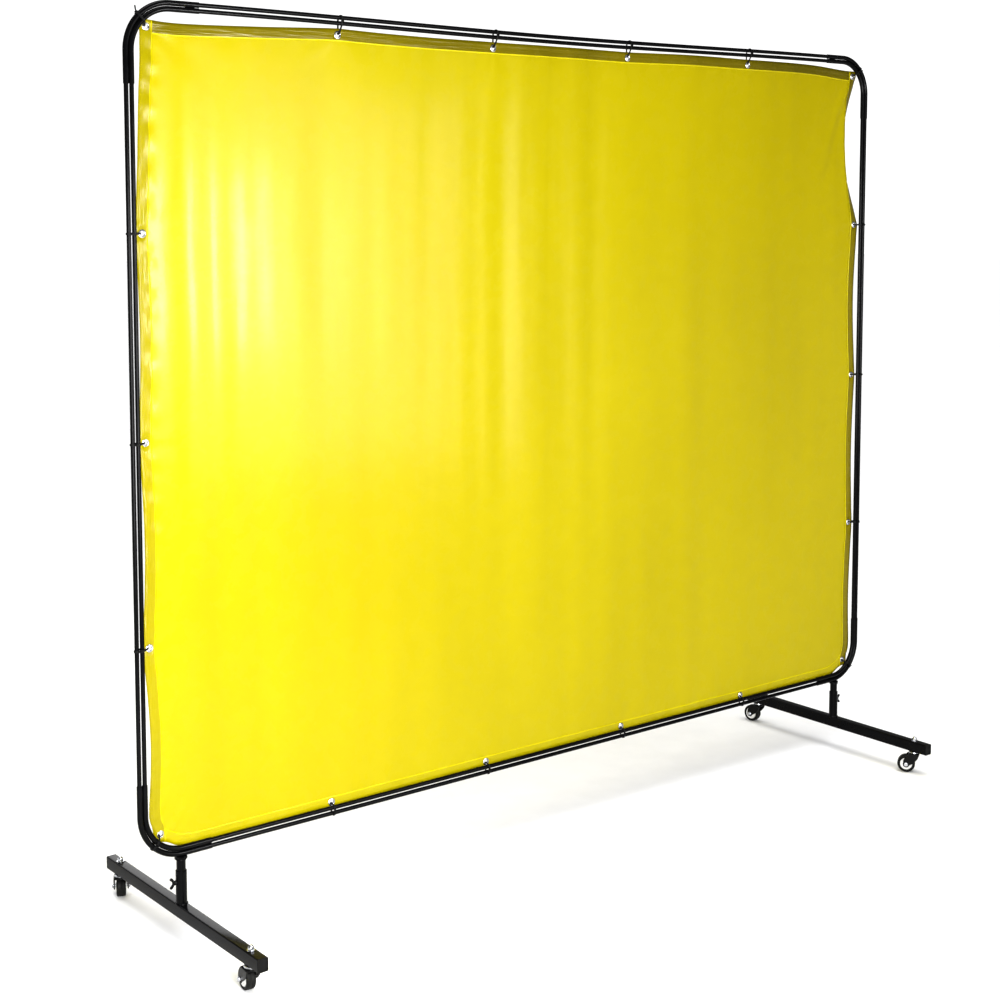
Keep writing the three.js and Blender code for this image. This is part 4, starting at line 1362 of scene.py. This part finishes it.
def wing_screw(side, outward):
    name = f"clamp_screw_{side}"
    zinc, nylon = MATERIALS["zinc"], MATERIALS["nylon"]
    tip, wall = 10.6 * MM, SOCKET_RADIUS + 0.3 * MM
    thread = []
    for k, h in enumerate(np.linspace(tip, wall + 1.6 * MM, 9)):
        thread.append(((3.0 if k % 2 else 2.75) * MM, h))
    shank = lathe(f"{name}_shank", [(0, tip), *thread, (0, wall + 1.6 * MM)], zinc, 28)
    collar = lathe(
        f"{name}_collar",
        [
            (0, wall),
            (5.0 * MM, wall),
            (5.5 * MM, wall + 0.6 * MM),
            (4.6 * MM, wall + 5.2 * MM),
            (3.8 * MM, wall + 6 * MM),
            (0, wall + 6.2 * MM)
        ],
        nylon,
        36,
    )
    half = 13 * MM
    outline = [
        (-3.6, 0),
        (3.6, 0),
        (7.5, 3.2),
        (11.2, 5.6),
        (12.8, 8.0),
        (12.6, 10.8),
        (10.6, 12.6),
        (8.0, 12.2),
        (5.2, 9.0),
        (3.0, 6.4),
        (0, 5.8)
    ]
    outline += [(-a, b) for a, b in outline[:1:-1] if a > 0]
    smooth = rounded([(a * half / 13, b * half / 13) for a, b in outline], 1.6 * MM, 3)
    wings = slab(f"{name}_wings", smooth, -1.5 * MM, 1.5 * MM, nylon, 0.5 * MM)
    place(wings, Matrix.Translation((0, 0, wall + 3 * MM)) @ Matrix.Rotation(math.pi / 2, 4, "X"))
    screw = join(f"{name}_body", [shank, collar, wings])
    place(screw, Matrix.Rotation(math.pi / 2, 4, "Y"))
    if outward < 0:
        place(screw, Matrix.Rotation(math.pi, 4, "Z"))
    place(screw, Matrix.Translation((outward * POST_X, 0, BAR_TOP + SCREW_HEIGHT)))
    tidy_normals(screw, 35)
    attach(screw, f"clamp_{side}")
    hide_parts(name)


# ---- casters ----
WHEEL_RADIUS = 25 * MM
WHEEL_HALF = 11 * MM
HUB_RADIUS = 17 * MM
TRAIL = 22 * MM
FORK_HALF = 14.5 * MM
FORK_PLATE = 2.5 * MM
RACE_TOP = BAR_BOTTOM - FIT
RACE_BOTTOM = RACE_TOP - 4.2 * MM
CROWN_TOP = RACE_BOTTOM - FIT
PLATE_TOP = CROWN_TOP - 2.5 * MM
PLATE_BOTTOM = PLATE_TOP - FORK_PLATE


def curve_points(points, count=8):
    """A quadratic curve through its two ends, from three control points."""
    a, b, c = (np.array(p) for p in points)
    return [tuple((1 - t) ** 2 * a + 2 * t * (1 - t) * b + t**2 * c) for t in np.linspace(0, 1, count)]


def fork_outline():
    points = [(-14 * MM, PLATE_TOP - 0.4 * MM)]
    points += curve_points(
        [
            (-11 * MM, PLATE_TOP - 10 * MM),
            (0, WHEEL_RADIUS + 3 * MM),
            (TRAIL - 8.6 * MM, WHEEL_RADIUS - 2.6 * MM)
        ]
    )
    for angle in np.linspace(math.pi * 1.1, math.pi * 2.15, 18):
        points.append((TRAIL + 9 * MM * math.cos(angle), WHEEL_RADIUS + 9 * MM * math.sin(angle)))
    points += curve_points(
        [
            (TRAIL + 8.2 * MM, WHEEL_RADIUS + 7 * MM),
            (TRAIL + 8 * MM, WHEEL_RADIUS + 18 * MM),
            (15.6 * MM, PLATE_TOP - 0.4 * MM)
        ]
    )
    return points


def fork(name):
    black = MATERIALS["caster"]
    pieces = []
    for facing in (-1, 1):
        leg = slab(f"{name}_leg", fork_outline(), -FORK_PLATE / 2, FORK_PLATE / 2, black, 0.45 * MM)
        turn = Matrix.Rotation(math.pi / 2, 4, "X")
        place(leg, Matrix.Translation((0, facing * (FORK_HALF + FORK_PLATE / 2), 0)) @ turn)
        pieces.append(leg)
        pad = lathe(
            f"{name}_pad",
            [(3.3 * MM, 0), (7 * MM, 0), (6.4 * MM, 0.8 * MM), (3.3 * MM, 0.8 * MM)],
            black,
            32
        )
        place(pad, Matrix.Rotation(-facing * math.pi / 2, 4, "X"))
        place(pad, Matrix.Translation((TRAIL, facing * (FORK_HALF + FORK_PLATE), WHEEL_RADIUS)))
        pieces.append(pad)
    width = FORK_HALF + FORK_PLATE
    outline = rounded(
        [(-14.5 * MM, -width), (16.5 * MM, -width), (16.5 * MM, width), (-14.5 * MM, width)], 4.5 * MM, 6
    )
    plate = slab(f"{name}_plate", outline, PLATE_BOTTOM, PLATE_TOP, black, 0.9 * MM)
    pieces.append(plate)
    crown = lathe(
        f"{name}_crown",
        [
            (4.7 * MM, PLATE_TOP - 0.4 * MM),
            (15.2 * MM, PLATE_TOP - 0.4 * MM),
            (14.6 * MM, PLATE_TOP + 1.2 * MM),
            (13.4 * MM, CROWN_TOP),
            (4.7 * MM, CROWN_TOP)
        ],
        black,
        48,
    )
    pieces.append(crown)
    return join(f"{name}_pressing", pieces)


def tyre(name):
    """A moulded tread: rounded shoulders, a parting line and a lip that sits on the rim."""
    inner = HUB_RADIUS + FIT
    half = WHEEL_HALF
    profile = [
        (inner, -half + 0.9 * MM),
        (inner + 1.2 * MM, -half + 0.5 * MM),
        (inner + 1.8 * MM, -half + 0.1 * MM)
    ]
    for angle in np.linspace(-math.pi / 2, 0, 8):
        profile.append(
            (
                WHEEL_RADIUS - 4.2 * MM + 4.2 * MM * math.cos(angle),
                -half + 4.2 * MM + 4.2 * MM * math.sin(angle)
            )
        )
    profile += [
        (WHEEL_RADIUS, -0.5 * MM),
        (WHEEL_RADIUS - 0.25 * MM, -0.25 * MM),
        (WHEEL_RADIUS - 0.25 * MM, 0.25 * MM),
        (WHEEL_RADIUS, 0.5 * MM)
    ]
    for angle in np.linspace(0, math.pi / 2, 8):
        profile.append(
            (
                WHEEL_RADIUS - 4.2 * MM + 4.2 * MM * math.cos(angle),
                half - 4.2 * MM + 4.2 * MM * math.sin(angle)
            )
        )
    profile += [
        (inner + 1.8 * MM, half - 0.1 * MM), (inner + 1.2 * MM, half - 0.5 * MM), (inner, half - 0.9 * MM)
    ]
    return lathe(f"{name}_tread", profile, MATERIALS["rubber"], 96)


def hub(name):
    """A moulded centre: a rim, a dished web with a ring on it, and a boss round the axle."""
    half, rim, bore = WHEEL_HALF + 2 * MM, WHEEL_HALF - 1 * MM, 3.3 * MM
    one = [
        (bore, half),
        (6.2 * MM, half),
        (6.9 * MM, half - 0.6 * MM),
        (7.4 * MM, rim - 1.4 * MM),
        (8.4 * MM, rim - 2.2 * MM),
        (12.6 * MM, rim - 1.9 * MM),
        (13.4 * MM, rim - 1.2 * MM),
        (14.0 * MM, rim - 0.2 * MM),
        (14.8 * MM, rim + 0.2 * MM),
        (HUB_RADIUS - 0.5 * MM, rim + 0.1 * MM),
        (HUB_RADIUS, rim - 0.4 * MM),
    ]
    profile = one + [(r, -h) for r, h in one[::-1]]
    return lathe(f"{name}_moulding", profile, MATERIALS["hub"], 72)


def hex_nut(name, radius, height, material):
    """A hexagon with its corners chamfered off at the outer face."""
    nut = lathe(name, [(0, 0), (radius, 0), (radius, height), (0, height)], material, 6)
    chamfer = lathe(
        f"{name}_chamfer",
        [
            (radius * 0.86, height + 0.1 * MM),
            (radius * 1.3, height - radius * 0.3),
            (radius * 1.3, height + 0.1 * MM)
        ],
        material,
        32
    )
    return cut(nut, [chamfer])


def axle(name):
    zinc = MATERIALS["zinc"]
    face = FORK_HALF + FORK_PLATE + FIT
    pieces = [
        lathe(
            f"{name}_shaft",
            [(0, -face - 1 * MM), (3 * MM, -face - 1 * MM), (3 * MM, face + 1 * MM), (0, face + 1 * MM)],
            zinc,
            24
        )
    ]
    for facing in (-1, 1):
        washer = lathe(
            f"{name}_washer",
            [
                (0, face + 0.5 * MM),
                (5.6 * MM, face + 0.5 * MM),
                (5.6 * MM, face + 1.3 * MM),
                (0, face + 1.3 * MM)
            ],
            zinc,
            40
        )
        nut = hex_nut(f"{name}_nut", 5.0 * MM, 2.6 * MM, zinc)
        place(nut, Matrix.Translation((0, 0, face + 1.3 * MM)))
        for piece in (washer, nut):
            if facing < 0:
                place(piece, Matrix.Rotation(math.pi, 4, "X"))
            pieces.append(piece)
    return join(f"{name}_bolt", pieces)


def stem(name):
    zinc = MATERIALS["zinc"]
    race = lathe(
        f"{name}_race",
        [
            (0, RACE_BOTTOM),
            (15.0 * MM, RACE_BOTTOM),
            (16 * MM, RACE_BOTTOM + 1.0 * MM),
            (15.4 * MM, RACE_TOP - 0.8 * MM),
            (14.2 * MM, RACE_TOP),
            (0, RACE_TOP)
        ],
        zinc,
        56,
    )
    low = BAR_TOP + FIT
    washer = lathe(
        f"{name}_washer",
        [(0, low), (9.2 * MM, low), (9.2 * MM, low + 1.2 * MM), (0, low + 1.2 * MM)],
        zinc,
        48
    )
    nut = hex_nut(f"{name}_nut", 7.4 * MM, 5.6 * MM, zinc)
    place(nut, Matrix.Translation((0, 0, low + 1.2 * MM)))
    base = low + 6.2 * MM
    arc = [(5.9 * MM * math.cos(t), base + 6.0 * MM * math.sin(t)) for t in np.linspace(0, math.pi / 2, 10)]
    dome = lathe(
        f"{name}_dome",
        [(0, base - 0.6 * MM), (5.9 * MM, base - 0.6 * MM), *arc[:-1], (0, base + 6.0 * MM)],
        zinc,
        40
    )
    bottom = PLATE_BOTTOM - 2.4 * MM
    rod = lathe(
        f"{name}_pin",
        [
            (0, bottom + 0.5 * MM),
            (4 * MM, bottom + 0.5 * MM),
            (4 * MM, low + 0.5 * MM),
            (0, low + 0.5 * MM)
        ],
        zinc,
        32
    )
    rivet = lathe(
        f"{name}_rivet",
        [
            (0, bottom),
            (4.6 * MM, bottom),
            (6 * MM, bottom + 1.0 * MM),
            (6 * MM, PLATE_BOTTOM - FIT),
            (0, PLATE_BOTTOM - FIT)
        ],
        zinc,
        36
    )
    return join(f"{name}_king_pin", [race, washer, nut, dome, rod, rivet])


def finish_piece(obj, node, body, matrix, angle=35):
    place(obj, matrix)
    tidy_normals(obj, angle)
    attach(obj, body)
    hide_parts(node)


def caster(end, side):
    low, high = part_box(f"stem_{end}_{side}")
    spot = Matrix.Translation(((low.x + high.x) / 2, (low.y + high.y) / 2, 0))
    wheel = middle(f"hub_{end}_{side}")
    turn = math.atan2(wheel.y - (low.y + high.y) / 2, wheel.x - (low.x + high.x) / 2)
    swivel = spot @ Matrix.Rotation(turn, 4, "Z")
    lay = Matrix.Translation((TRAIL, 0, WHEEL_RADIUS)) @ Matrix.Rotation(math.pi / 2, 4, "X")
    tag = f"{end}_{side}"
    finish_piece(stem(f"stem_{tag}"), f"stem_{tag}", f"foot_{side}", spot)
    finish_piece(fork(f"fork_{tag}"), f"fork_{tag}", f"caster_{tag}", swivel)
    finish_piece(axle(f"axle_{tag}"), f"axle_{tag}", f"caster_{tag}", swivel @ lay)
    finish_piece(hub(f"hub_{tag}"), f"hub_{tag}", f"wheel_{tag}", swivel @ lay)
    finish_piece(tyre(f"tyre_{tag}"), f"tyre_{tag}", f"wheel_{tag}", swivel @ lay, 50)


# ---- run it ----
add_camera()
add_world()
add_lights()
add_floor()
for level in ("top", "bottom"):
    for side in ("left", "right"):
        corner_piece(level, side)
straight_tubes()
make_curtain()
add_ties()
for side, outward in (("left", -1), ("right", 1)):
    foot(side, outward)
    wing_screw(side, outward)
    for end in ("front", "rear"):
        caster(end, side)
